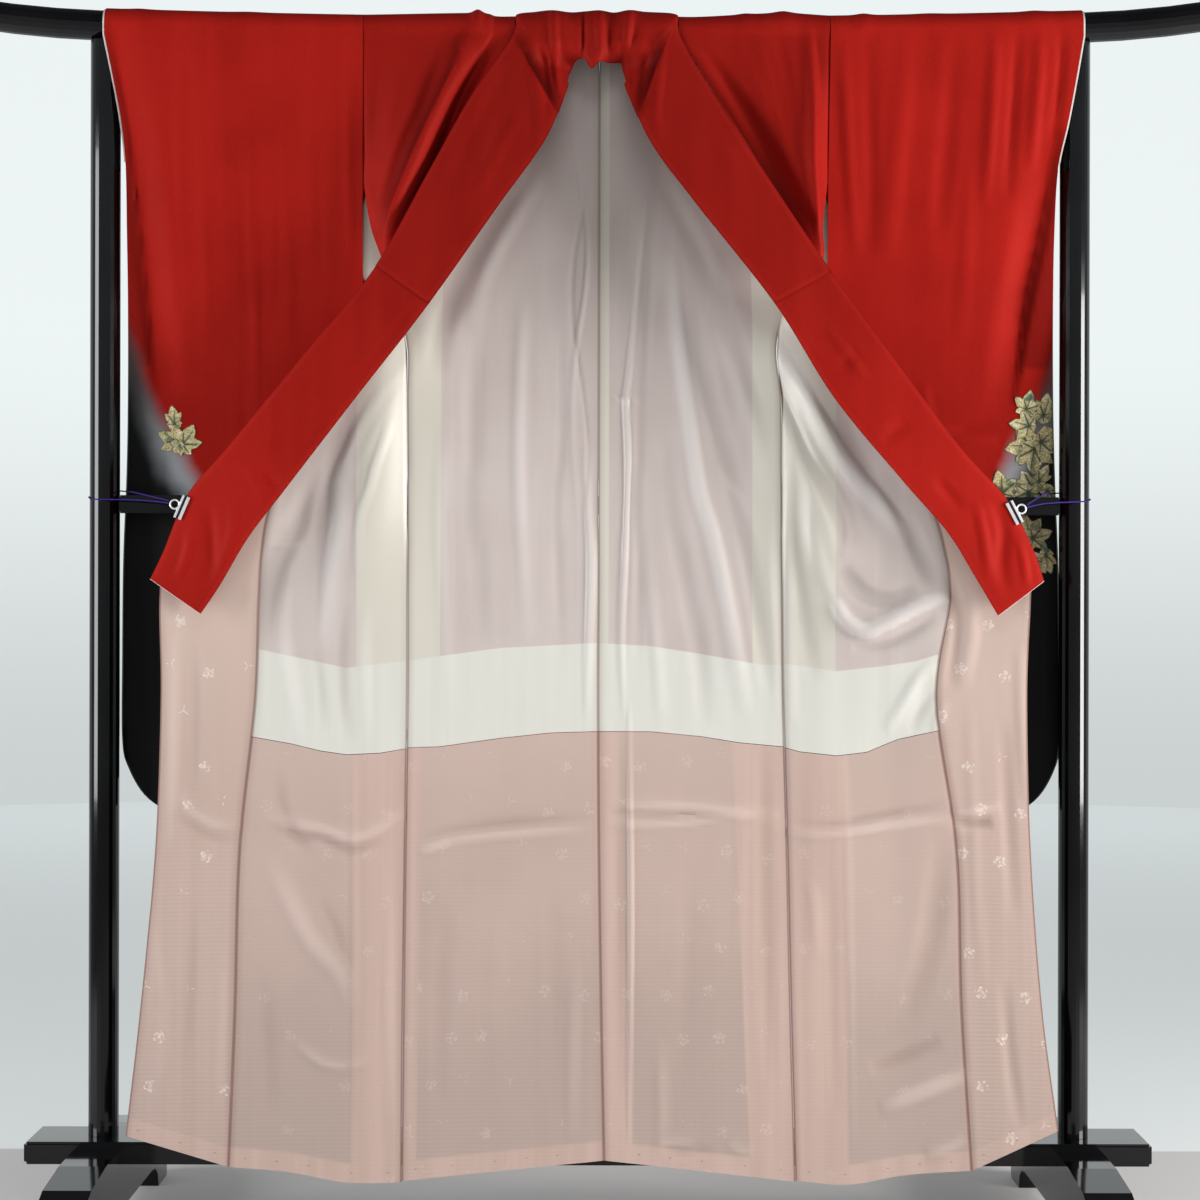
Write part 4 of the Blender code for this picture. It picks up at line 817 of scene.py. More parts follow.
def seam_positions(columns, line, first, last):
    """For each column, the position between first and last at which it crosses a seam line."""
    fine = np.linspace(first, last, 400)
    places = curve(columns, fine)
    heights = unrolled(places)
    xs, zs = np.array(line).T / 1000
    found = []
    for j in range(columns.shape[1]):
        wanted = np.interp(places[:, j, 0], xs, zs)
        found.append(np.interp(0.0, wanted - heights[:, j], fine))
    return np.array(found)


def upper_rows(columns, first, change):
    """Positions of rows from a first row to the seam between cream and pink."""
    base = even(columns, first, change.mean(), STEP)
    return first + (base[:, None] - first) * (change[None] - first) / (change.mean() - first)


def lower_rows(columns, change, last):
    """Positions of rows from that seam to a last row."""
    base = even(columns, change.mean() + .004, last, STEP)
    return last + (base[:, None] - last) * (change[None] + .004 - last) / (base[0] - last)


def refine(rows, parts):
    """Rows joined by straight steps, each cut into parts."""
    out = [rows[:1]]
    for first, second, count in zip(rows[:-1], rows[1:], parts):
        shares = np.linspace(0, 1, count + 1)[1:, None, None]
        out.append(first[None] + (second - first)[None] * shares)
    return np.concatenate(out)


def over_back(side):
    """Rows of a back panel round the back of the bar, up to where the neck is cut."""
    side_x = BACK[0].left if side < 0 else BACK[0].right
    centre_x = BACK[0].centre_x + side * GAP / 2
    x = side_x + (centre_x - side_x) * back_shares(side)
    return np.array([np.stack([x, np.full(x.shape, drop), np.zeros(x.shape)], -1)
                     for drop in BACK_TOP_DROPS])


def over_shoulder(half):
    """Rows of a body from the top of the shoulder to the front."""
    top = half.levels[0]
    rows = [[(top.side[0], drop, 0), (top.ridge[0], drop, lift), (top.valley[0], drop, 0),
             (half.neck_x, drop, 0)] for drop, lift in SHOULDER_ROWS]
    rows = across(rows, BODY_ACROSS)
    for row, share in zip(rows, (.5, 1.0, 1.0, .9)):
        row[:, 2] += share * bumps(half.bumps, row[:, 0])
    return rows


# The pieces

def new_mesh(name, points, faces, material, values=None):
    mesh = bpy.data.meshes.new(name)
    mesh.from_pydata(np.asarray(points, float).reshape(-1, 3).tolist(), [], faces)
    for key, value in (values or {}).items():
        layer = mesh.attributes.new(key, "FLOAT", "POINT")
        layer.data.foreach_set("value", np.asarray(value, np.float32).ravel())
    mesh.shade_smooth()
    item = bpy.data.objects.new(name, mesh)
    item.data.materials.append(material)
    bpy.context.scene.collection.objects.link(item)
    return item


def grid_faces(rows, columns):
    corner = (np.arange(rows - 1)[:, None] * columns + np.arange(columns - 1)).ravel()
    return np.stack([corner, corner + 1, corner + columns + 1, corner + columns], -1).tolist()


def ring_faces(start, rings, count, turned=False):
    """Faces between rings of points, each of which closes on itself. turned winds them back."""
    faces = []
    for ring in range(rings - 1):
        for step in range(count):
            here = start + ring * count + step
            ahead = start + ring * count + (step + 1) % count
            face = (here, ahead, ahead + count, here + count)
            faces.append((face[0], face[3], face[2], face[1]) if turned else face)
    return faces


def thicken(item, thickness):
    """Gives the sheet its thickness and keeps the turned edge crisp."""
    solid = item.modifiers.new("Thickness", "SOLIDIFY")
    solid.thickness = thickness
    solid.offset = 0.0
    graph = bpy.context.evaluated_depsgraph_get()
    mesh = bpy.data.meshes.new_from_object(item.evaluated_get(graph), depsgraph=graph)
    item.modifiers.clear()
    old, item.data = item.data, mesh
    mesh.name = item.name
    bpy.data.meshes.remove(old)
    mesh.shade_smooth()
    mesh.set_sharp_from_angle(angle=SHARP_EDGE)
    return item


def cloth(name, grid, thickness, material, values=None):
    item = new_mesh(name, grid, grid_faces(*grid.shape[:2]), material, values)
    return thicken(item, thickness)


def settle(item, node=None):
    """Tells the frame what a piece rides on, and hides the part of the frame that it stands for."""
    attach(item, "root")
    if node:
        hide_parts(node)
    return item


def shade_distance(grid, line):
    """Distance below a line on which red turns to black, as if measured across the line."""
    xs, zs = np.array(line).T / 1000
    slope = np.interp(grid[..., 0], (xs[1:] + xs[:-1]) / 2, np.diff(zs) / np.diff(xs))
    return (np.interp(grid[..., 0], xs, zs) - grid[..., 2]) / np.sqrt(1 + slope ** 2)


def make_body(half):
    """One side of the garment: outer cloth and linings of its back and front."""
    side, name, cuts = half.side, half.name, half.cuts
    back = back_columns(side)
    change = seam_positions(back, SEAM_BACK, *BACK_SEAM_ROWS)
    back_upper = panel_back(side, back, upper_rows(back, 0, change)[::-1])
    back_lower = panel_back(side, back, lower_rows(back, change, BACK_HEM)[::-1])
    front = front_columns(half.levels)
    change = seam_positions(front, half.seam, *FRONT_SEAM_ROWS)
    fore = [even(front, 0, FRONT_LINING_TOP, STEP), upper_rows(front, FRONT_LINING_TOP, change),
            lower_rows(front, change, FRONT_HEM)]
    fore = [panel_front(half, front, rows) for rows in fore]
    over = np.concatenate([back_upper[-1:], over_back(side)])
    top = refine(np.concatenate([over, over_shoulder(half), fore[0][:1]]), (4, 3, 3, 1, 3, 3, 3, 4))
    grid = hang(np.concatenate([back_lower, back_upper[:-1], top, fore[0][1:-1], *fore[1:]]))
    shade = np.maximum(shades(half.shades, grid), top_shade(grid, FRONT_TOP_SHADE))
    values = {"dark": shade_distance(grid, SHADE_BODY), "edge": np.full(grid.shape[:2], NO_EDGE),
              "shade": shade}
    body = cloth("body_" + name + "_cloth", grid, OUTER_SILK, RED_SILK, values)
    settle(body, "body_" + name)

    grid = inside(np.concatenate([back_upper[:-1], refine(over, (4, 3, 3))]), side)
    double = np.maximum(side * (grid[..., 0] - cuts.back_cream), .007 - np.abs(grid[..., 0] - .019))
    make_lining("back_lining_" + name, grid, BACK_FOLDS, TINT_BACK, double)
    grid = inside(back_lower, side)
    double = np.maximum(side * (grid[..., 0] - cuts.back_pink), .018 - np.abs(grid[..., 0] - .031))
    make_hakkake("back_hakkake_" + name, grid[::-1], BACK_FOLDS, double, .35)
    grid = inside(fore[1], side)
    double = side * (cuts.front_cream - grid[..., 0])
    make_lining("front_lining_" + name, grid, half.folds, half.tint, double)
    grid = inside(fore[2], side)
    double = side * (cuts.front_pink - grid[..., 0])
    make_hakkake("front_hakkake_" + name, grid, half.folds, double, .25)
    return body


def inside(rows, side):
    """A lining's surface, one step in from its outer cloth.

    A sleeve's columns run outwards and not towards the front's edge, so it is given -side.
    """
    grid = hang(rows)
    return grid + normals(grid) * side * LINING_STEP


def make_lining(name, grid, table, tint, double):
    """A cream lining, tinted where the red shows through a single layer of it."""
    xs, zs = np.array(tint).T / 1000
    values = {"band": grid[..., 2] - np.interp(grid[..., 0], xs, zs), "double": double,
              "seam": from_edge(grid), "crest": crests(table, grid)}
    item = cloth(name + "_silk", grid, LINING_SILK, CREAM_SILK, values)
    settle(item, name)


def make_hakkake(name, grid, table, double, motif):
    """A pink lining, from its seam or top down to the hem, with its hem's stitches."""
    values = {"double": double, "hem": hem_height(grid), "motif": np.full(grid.shape[:2], motif),
              "seam": from_edge(grid), "crest": crests(table, grid)}
    item = cloth(name + "_silk", grid, LINING_SILK, PINK_SILK, values)
    settle(item, name)
    make_stitches(name + "_stitches", grid, hem_height(grid)[:, grid.shape[1] // 2])


def hem_height(grid):
    steps = np.linalg.norm(np.diff(grid, axis=0), axis=-1)
    return np.concatenate([np.cumsum(steps[::-1], axis=0)[::-1], np.zeros((1, grid.shape[1]))])


def make_okumi(half):
    columns = okumi_columns(half.side, half.levels)
    rows = panel_front(half, columns, even(columns, SWORD_POINT + .5, FRONT_HEM, FINE_STEP))
    grid = hang(rows)
    values = {"dark": OKUMI_BLACK_HEIGHT - grid[..., 2], "edge": np.full(grid.shape[:2], NO_EDGE)}
    item = cloth("okumi_" + half.name + "_cloth", grid, OUTER_SILK, RED_SILK, values)
    settle(item, "okumi_" + half.name)
    double = np.full(grid.shape[:2], NOT_DOUBLED)
    make_hakkake("okumi_hakkake_" + half.name, inside(rows, half.side), half.folds, double, 1.0)


def make_stitches(name, grid, height):
    """Small stitches a little way above the hem, where the lining is caught down."""
    row = int(np.argmin(np.abs(height - STITCH_HEIGHT)))
    line = grid[row]
    length = np.concatenate([[0], np.cumsum(np.linalg.norm(np.diff(line, axis=0), axis=1))])
    places = np.arange(STITCH_START, length[-1] - .01, STITCH_PITCH)
    places = places + .006 * np.sin(places * 173)
    spots = np.stack([np.interp(places, length, line[:, k]) for k in range(3)], -1)
    dots(name, spots, Vector((1, 0, 0)), .0013, .0005, THREAD)


def dots(name, spots, way, half_length, radius, material):
    """Short threads that lie on the cloth at the given spots, on its front."""
    points, faces = [], []
    for spot in spots:
        start = len(points)
        for along, size in ((-1, .3), (-.55, 1), (.55, 1), (1, .3)):
            for step in range(6):
                turn = math.pi * step / 3
                up = Vector((0, -math.cos(turn), math.sin(turn))) * radius * size
                points.append(Vector(spot) + Vector((0, -.0005, 0)) + way * half_length * along + up)
        faces += ring_faces(start, 4, 6)
        faces.append(tuple(start + k for k in reversed(range(6))))
        faces.append(tuple(start + 18 + k for k in range(6)))
    settle(new_mesh(name, points, faces, material))


def neck_section(x, edge_wave):
    """A section of the collar over the bar at the back of the neck, gathered into soft waves."""
    wave = math.cos(2 * math.pi * (x - GATHER_CREST_X) / GATHER_PITCH)
    lift = COLLAR_OUT + .001 + NECK_GATHER * (1 + wave) / 2
    free_lift = COLLAR_OUT + .002 + NECK_GATHER * wave / 2
    free_x = BACK[0].centre_x + (x - BACK[0].centre_x) * NECK_NARROWING
    drops = (NECK_DROP - COLLAR_OVERLAP, *NECK_TOP_DROPS, NECK_FREE_DROP + edge_wave)
    lifts = (COLLAR_OUT, lift, lift, free_lift)
    return [(x + (free_x - x) * share, drop, out)
            for share, drop, out in zip(SECTION_SHARES, drops, lifts)]


def neck_turn(x, z):
    """How far the collar falls back beside the neck, inside the lines where it turns."""
    depth = np.zeros(x.shape)
    for line, way in ((NECK_TURN_LEFT, 1), (NECK_TURN_RIGHT, -1)):
        near, side, share = to_path(x, z, np.array(line) / 1000)
        inner = near * side * way
        fall = NECK_TURN_DEPTH * smooth_step(inner, -.0012, .0042) + .42 * np.maximum(inner, 0)
        fall *= smooth_step(.080 - near, 0, .03)
        depth += fall * smooth_step(share, 0, .15) * smooth_step(1 - share, -.02, .03)
    return depth * smooth_step(1.578 - z, 0, .035)


def collar_columns():
    """The collar's guide points in columns, from its left end, round the neck, to its right."""
    def straight(outer, inner, shares):
        return [outer + (inner - outer) * share for share in shares]

    def band_sections(bands):
        return [straight(front_cloth(band.outer), front_cloth(band.inner), (0.0, 1 / 3, 2 / 3, 1.0))
                for band in bands]

    def turn_sections(turns):
        return [straight(np.array((turn.x, turn.drop, COLLAR_OUT)), front_cloth(turn.free_end),
                         SECTION_SHARES) for turn in turns]

    neck = [neck_section(*pair) for pair in zip(NECK_SECTIONS_X, NECK_EDGE_WAVES)]
    sections = (band_sections(LEFT_BAND[::-1]) + turn_sections(LEFT_TURNS) + neck
                + turn_sections(RIGHT_TURNS) + band_sections(RIGHT_BAND))
    return across(np.array(sections), BAND_ACROSS)


def make_collar():
    """The collar band, and the shorter cover over its middle length."""
    columns = collar_columns()
    last = len(columns) - 1
    low, high = NECK_ROWS
    places = np.concatenate([even(columns, 0, low, BAND_STEP)[:-1],
                             even(columns, low, high, NECK_STEP)[:-1],
                             even(columns, high, last, BAND_STEP)])
    rows = curve(columns, places)
    x, z = rows[..., 0], unrolled(rows)
    place = np.linspace(-1, 1, BAND_ACROSS)[None, :]
    lift = COLLAR_FOLD_SHARE * folds(COLLAR_FOLDS, x, z) * (1 - place ** 4)
    rows[..., 2] += lift + drift(x, z) * COLLAR_DRIFT_SHARE - neck_turn(x, z)
    rows[..., 2] += COLLAR_DOME * (1 - place ** 6) - COLLAR_SINK
    grid = hang(rows)
    width = np.linalg.norm(grid[:, -1] - grid[:, 0], axis=-1)[:, None]
    edge = (1 - np.abs(place)) / 2 * width
    shade = np.maximum(shades(COLLAR_SHADES, grid), top_shade(grid, COLLAR_TOP_SHADE))
    values = {"dark": np.full(grid.shape[:2], ALL_RED), "edge": edge, "shade": shade}
    band = cloth("collar_cloth", grid, BAND_SILK, RED_SILK, values)
    settle(band, "collar")
    first = len(LEFT_BAND) - 1 - COVER_BAND
    inner = (places >= first) & (places <= last - first)
    cover = (grid - normals(grid) * (BAND_SILK / 2 + COVER_RAISE))[inner]
    steps = np.cumsum(np.linalg.norm(np.diff(cover, axis=0, prepend=cover[:1]), axis=-1), axis=0)
    ends = np.minimum(steps, steps[-1:] - steps)
    values = {"dark": np.full(cover.shape[:2], ALL_RED), "edge": np.minimum(edge[inner], ends),
              "shade": shade[inner]}
    piece = cloth("collar_cover_cloth", cover, OUTER_SILK, RED_SILK, values)
    settle(piece, "collar_cover")
    make_collar_threads(grid)


def make_collar_threads(grid):
    """Stitches that catch the collar's inner edge near its two ends, and its pale end piping."""
    face = grid - normals(grid) * BAND_SILK / 2
    for suffix, rows in (("left", face[6:60]), ("right", face[-60:-6])):
        spots = rows[::2, -2] * .6 + rows[::2, -1] * .4
        dots("collar_stitches_" + suffix, spots, Vector((.7, 0, .7)), .0008, .00035, RED_THREAD)
    for suffix, row in (("left", face[0]), ("right", face[-1])):
        tube("collar_piping_" + suffix, row + np.array((0, .0004, -.0004)), .00035, PIPING)


def tube(name, line, radius, material):
    """A thin round cord laid along a line of points."""
    line = [Vector(point) for point in line]
    points = []
    for k, point in enumerate(line):
        way = (line[min(k + 1, len(line) - 1)] - line[max(k - 1, 0)]).normalized()
        across_way = way.cross(Vector((0, 1, 0))).normalized()
        up = across_way.cross(way)
        for step in range(8):
            turn = math.pi * step / 4
            points.append(point + (across_way * math.cos(turn) + up * math.sin(turn)) * radius)
    faces = ring_faces(0, len(line), 8, True)
    faces.append(tuple(range(8)))
    faces.append(tuple(len(points) - 8 + k for k in reversed(range(8))))
    settle(new_mesh(name, points, faces, material))


def sleeve_inner(side, z):
    if side < 0:
        return np.full(np.shape(z), SLEEVE_LEFT_INNER)
    share = np.clip((BACK[0].side_z - z) / (BACK[0].side_z - ARMHOLE_BOTTOM), 0.0, 1.0)
    return SLEEVE_RIGHT_INNER - SLEEVE_RIGHT_TAPER * share


def sleeve_columns(side, front, shares, positions):
    """A sleeve's front or back layer: its columns at the shares of its width, its rows by place."""
    table = np.array([(row.z, row.left_outer if side < 0 else row.right_outer,
                       row.front_y if front else row.back_y) for row in SLEEVE])
    z, outer, y = curve(table, positions).T[:, :, None]
    inner = sleeve_inner(side, z)
    x = inner + (outer - inner) * shares[None, :]
    y, z = np.broadcast_to(y, x.shape), np.broadcast_to(z, x.shape)
    return front_cloth(np.stack([x, y, z], -1)) if front else back_cloth(x, y, z)


def sleeve_rows(side, positions, shares, table, bump_table):
    """A sleeve's rows up its back, over the bar and down its front, with its folds."""
    back = sleeve_columns(side, False, shares, positions)[::-1]
    front = sleeve_columns(side, True, shares, positions)
    place = shares[None, :]
    for rows, share in ((front, 1.0), (back, -.7)):
        x, z = rows[..., 0], unrolled(rows)
        lift = (folds(table, x, z) + drift(x, z)) * smooth_step(place, 0, .05)
        low = smooth_step(z, *SLEEVE_FOLD_FOOT)
        rows[..., 2] += share * lift * low * smooth_step(FOLD_TOP - z, 0, .03)
    top = []
    for drop in OVER_BAR_DROPS:
        line = front[0].copy()
        line[:, 1] = drop
        line[:, 2] = bumps(bump_table, line[:, 0]) * smooth_step(drop, -.014, .004)
        top.append(line)
    top = refine(np.concatenate([back[-1:], top, front[:1]]), (2, 3, 2, 2, 2, 2, 2, 2, 3, 2))
    return np.concatenate([back[:-1], top, front[1:]])


def sleeve_positions(side, first, last, step):
    columns = sleeve_columns(side, True, np.linspace(0, 1, 3), np.arange(len(SLEEVE)))
    return even(columns, first, last, step)


def make_sleeve(side, name, table, dark_table, bump_table, line):
    """A sleeve: one length over the bar, sewn along the foot and below the wrist opening."""
    upper = sleeve_positions(side, 0, WRIST_ROW, STEP)
    lower = sleeve_positions(side, WRIST_ROW, SLEEVE_FOOT, STEP)
    positions = np.concatenate([upper[:-1], lower])
    count = SLEEVE_ACROSS
    grid = hang(sleeve_rows(side, positions, np.linspace(0, 1, count), table, bump_table))
    points = list(grid.reshape(-1, 3))
    faces = grid_faces(len(grid), count)
    foot = (len(grid) - 1) * count

    def bridge(first, second, swell):
        """Points between the back layer's point and the front layer's, bowed outwards."""
        found = [first]
        for k in range(1, SLEEVE_SEAM_POINTS + 1):
            share = k / (SLEEVE_SEAM_POINTS + 1)
            point = points[first] + (points[second] - points[first]) * share
            points.append(point + np.array(swell) * math.sin(math.pi * share))
            found.append(len(points) - 1)
        return found + [second]

    wall = [bridge(k * count + count - 1, foot - k * count + count - 1, (side * SLEEVE_BOW, 0, 0))
            for k in range(len(lower))]
    base = [bridge(j, foot + j, (0, 0, -SLEEVE_BOW)) for j in range(count - 1)] + [wall[0]]
    for strips in (wall, base[::-1]):
        for low, high in zip(strips[:-1], strips[1:]):
            for k in range(SLEEVE_SEAM_POINTS + 1):
                faces.append((low[k], low[k + 1], high[k + 1], high[k]))
    points = np.array(points)
    values = {"dark": shade_distance(points[None], line), "edge": np.full(len(points), NO_EDGE),
              "shade": shades(dark_table, points)}
    item = thicken(new_mesh("sleeve_" + name + "_cloth", points, faces, RED_SILK, values), OUTER_SILK)
    settle(item, "sleeve_" + name)

    positions = sleeve_positions(side, 0, WRIST_LINING_END, WRIST_LINING_STEP)
    width = abs(SLEEVE[2].left_outer - SLEEVE_LEFT_INNER)
    shares = 1 - np.linspace(WRIST_LINING_WIDTH, -WRIST_LINING_PROUD, 12) / width
    grid = inside(sleeve_rows(side, positions, shares, table, bump_table), -side)
    piece = cloth("sleeve_lining_" + name + "_silk", grid, WRIST_LINING_SILK, PIPING)
    settle(piece, "sleeve_lining_" + name)
    return item


def make_leaves(name, leaves, carriers, way):
    """Leaves of gilt and green dye on the front of their cloth, way 1, or on its back, way -1."""
    trees = [BVHTree.FromPolygons([v.co.copy() for v in item.data.vertices],
                                  [tuple(p.vertices) for p in item.data.polygons])
             for item in carriers]
    points, faces, radius, turns, green = [], [], [], [], []
    for order, (leaf_x, leaf_z, size, tip, kind) in enumerate(leaves):
        faces += ring_faces(len(points), LEAF_RINGS + 1, LEAF_SPOKES, True)
        for ring in range(LEAF_RINGS + 1):
            share = ring / LEAF_RINGS
            for spoke in range(LEAF_SPOKES):
                angle = 2 * math.pi * spoke / LEAF_SPOKES
                reach = leaf_reach(angle, kind) * size / 1000 * share
                spot = None
                while spot is None:
                    x = leaf_x / 1000 + reach * math.cos(angle + math.radians(tip))
                    z = leaf_z / 1000 + reach * math.sin(angle + math.radians(tip))
                    spot = touch(trees, x, z, way, .0004 + order % 4 * .0002)
                    reach *= .92
                points.append(spot)
                radius.append(share)
                turns.append(angle)
                green.append(.5 + .5 * math.sin(order * 2.4))
    values = {"reach": radius, "angle": turns, "green": green}
    settle(new_mesh(name, points, faces, LEAF, values))


def leaf_reach(angle, kind):
    """Distance from a leaf's foot to its outline, as a share of its length."""
    lobes = ((0.0, 1.0, .50), (.95, .86, .46), (-.95, .86, .46), (1.95, .58, .5), (-1.95, .58, .5))
    if kind == 2:
        lobes = ((0.0, 1.0, .42), (.62, .74, .36), (-.62, .74, .36), (1.5, .42, .5), (-1.5, .42, .5))
    angle = (angle + math.pi) % (2 * math.pi) - math.pi
    reach = .34
    for middle, length, width in lobes:
        away = abs(angle - middle) / width
        reach = max(reach, length * (1 - .40 * away ** .95))
    return reach + .018 * math.sin(angle * (19 if kind == 1 else 15))


def touch(trees, x, z, way, lift):
    """The place on the cloth's face at (x, z), seen from the front or from the back."""
    best = None
    for tree in trees:
        hit = tree.ray_cast(Vector((x, -way, z)), Vector((0, way, 0)))[0]
        if hit and (best is None or hit.y * way < best.y * way):
            best = hit
    return best - Vector((0, way * lift, 0)) if best else None


# The materials

# Places of outputs that are used by number
OBJECT_PLACE = 3
ATTRIBUTE_VALUE = 2
MIXED_COLOUR = 2
DOT_PRODUCT = 1

# The node tree and the shader of the material that is being made
making = {}


class Value:
    """An output of a shader node. Sums and products with it add Math nodes."""

    def __init__(self, socket):
        self.socket = socket

    def __add__(self, other):
        return calc("ADD", self, other)

    def __sub__(self, other):
        return calc("SUBTRACT", self, other)

    def __rsub__(self, other):
        return calc("SUBTRACT", other, self)

    def __mul__(self, other):
        return calc("MULTIPLY", self, other)

    def __truediv__(self, other):
        return calc("DIVIDE", self, other)


def start_material(name):
    """A new material. What the functions below add goes to it until the next one starts."""
    material = bpy.data.materials.new(name)
    material.use_nodes = True
    making["tree"] = material.node_tree
    making["shader"] = material.node_tree.nodes["Principled BSDF"]
    return material


def feed(socket, value):
    if isinstance(value, Value):
        making["tree"].links.new(value.socket, socket)
    else:
        socket.default_value = value


def add(kind, settings=None, **inputs):
    """The outputs of a new node that has these settings and these inputs."""
    item = making["tree"].nodes.new("ShaderNode" + kind)
    for key, value in (settings or {}).items():
        setattr(item, key, value)
    for key, value in inputs.items():
        key = key.replace("_", " ")
        feed(item.inputs[int(key[1:]) if key[1:].isdigit() else key], value)
    return [Value(socket) for socket in item.outputs]


def finish(**inputs):
    """Sets the inputs of the material's shader."""
    for key, value in inputs.items():
        feed(making["shader"].inputs[key.replace("_", " ")], value)


def calc(operation, first, second=0.0, third=0.0):
    return add("Math", {"operation": operation}, i0=first, i1=second, i2=third)[0]


def ease(value, low, high):
    """0 at low and 1 at high, eased between them."""
    settings = {"interpolation_type": "SMOOTHSTEP"}
    return add("MapRange", settings, Value=value, From_Min=low, From_Max=high)[0]


def spread(value, low, high, first, last):
    """From first where the value is low to last where it is high."""
    return add("MapRange", Value=value, From_Min=low, From_Max=high, To_Min=first, To_Max=last)[0]


def mix(share, first, second):
    """A colour between two colours."""
    first, second = (c if isinstance(c, Value) else (*c, 1.0) for c in (first, second))
    return add("Mix", {"data_type": "RGBA"}, i0=share, i6=first, i7=second)[MIXED_COLOUR]


def place_of(stretch=(1, 1, 1)):
    """Places on the object in metres, stretched along its axes."""
    return add("Mapping", Vector=add("TexCoord")[OBJECT_PLACE], Scale=stretch)[0]


def xyz():
    """Places on the object in metres, one value for each axis."""
    return add("SeparateXYZ", Vector=add("TexCoord")[OBJECT_PLACE])


def noise(place, scale, detail=2.0, rough=.5):
    return add("TexNoise", Vector=place, Scale=scale, Detail=detail, Roughness=rough)[0]


def attribute(name):
    return add("Attribute", {"attribute_name": name})[ATTRIBUTE_VALUE]


def relief(height, distance, strength):
    return add("Bump", Height=height, Distance=distance, Strength=strength)[0]


def weave(threads):
    """Height of a plain weave with the given number of threads a metre."""
    x, _, z = xyz()
    warp, weft = (calc("SINE", way * (threads * 2 * math.pi)) for way in (x, z))
    return warp * weft


def make_red_silk():
    """Crepe silk, red shading through a pale halo to black where the dark attribute rises.

    Painted shade darkens it where the shade attribute rises, and a painted highlight runs
    along its edges.
    """
    material = start_material("red_crepe_silk")
    place = place_of()
    grain = noise(place, 620.0, 3.0, .65)
    streak = noise(place_of((34, 20, 2.4)), 1.0, 3.0)
    red = mix(ease(noise(place, 7.0, 3.0), .3, .7), (.290, .0075, .0050), (.350, .0100, .0066))
    red = mix(ease(streak, .35, .75) * .45, red, (.390, .0130, .0085))
    red = mix(ease(grain, .45, .75) * .30, red, (.480, .0240, .0165))
    edge = attribute("edge")
    # A lighter strip along each edge, partly its doubled cloth and partly a painted highlight, then a thin
    # line of painted shade right at the edge
    red = mix(ease(edge, .0075, .0050) * .22, red, (.470, .0200, .0140))
    red = mix(ease(edge, .0016, .0002) * .6, red, (.150, .0040, .0030))
    # Painted shade from the shade attribute: in deep folds, beside the collar, and on the unlit upper collar
    # and fronts
    red = mix(attribute("shade"), red, (.036, .0010, .0008))
    dark = attribute("dark") + (noise(place, 16.0, 3.0) - .5) * .020
    halo = mix(ease(xyz()[2], 1.14, 1.00), (.085, .080, .082), (.36, .385, .41))
    pale = mix(ease(dark, -.024, .006), red, halo)
    black = mix(ease(grain, .4, .8), (.0022, .0022, .0024), (.0050, .0052, .0056))
    finish(Base_Color=mix(ease(dark, .002, .034), pale, black),
           Roughness=spread(grain, .3, .7, .50, .66),
           Specular_Tint=mix(ease(dark, .0, .02), (1.0, .16, .12), (1.0, 1.0, 1.0)),
           Specular_IOR_Level=.24,
           Normal=relief(grain + weave(900) * .35, .00012, .7))
    return material


def sewn(colour, shade):
    """The colour with painted shade in the crease along a seam, deep close to it and faint a little farther
    out.
    """
    seam = attribute("seam")
    depth = calc("MAXIMUM", ease(seam, .0036, .0010) * .84, ease(seam, .012, .000) * .25)
    return mix(depth, colour, shade)


def painted_fold_light(colour, shade, light):
    """The colour with painted shade in the troughs of folds, and a painted highlight on their ridges."""
    crest = attribute("crest")
    colour = mix(ease(crest, .02, -.95) * .34, colour, shade)
    return mix(ease(crest, .02, .95) * .34, colour, light)


def make_cream_silk():
    """Smooth silk lining. Where it is one layer thick the red behind it shows as a mauve tint."""
    material = start_material("cream_lining_silk")
    place = place_of()
    streak = noise(place_of((60, 30, 2.2)), 1.0, 3.0)
    fine = noise(place, 900.0)
    cream = mix(ease(streak, .2, .9), (.700, .690, .625), (.745, .735, .680))
    tint = mix(ease(noise(place, 6.0), .3, .7), (.560, .476, .446), (.614, .532, .502))
    # Lighter streaks in the tint: a painted satin sheen
    tint = mix(ease(streak, .4, .8) * .4, tint, (.66, .585, .56))
    pale = mix(ease(attribute("double"), -.0010, .0012), tint, (.665, .630, .550))
    colour = mix(ease(attribute("band"), -.0008, .0014), cream, pale)
    colour = mix(ease(fine, .5, .8) * .10, colour, (.9, .9, .87))
    colour = painted_fold_light(colour, (.34, .29, .265), (.90, .875, .85))
    finish(Base_Color=sewn(colour, (.300, .235, .200)), Roughness=spread(streak, .3, .7, .28, .38),
           Specular_IOR_Level=.42, Sheen_Weight=.12, Sheen_Roughness=.4,
           Normal=relief(weave(1300) * .3 + fine, .00005, .6))
    return material


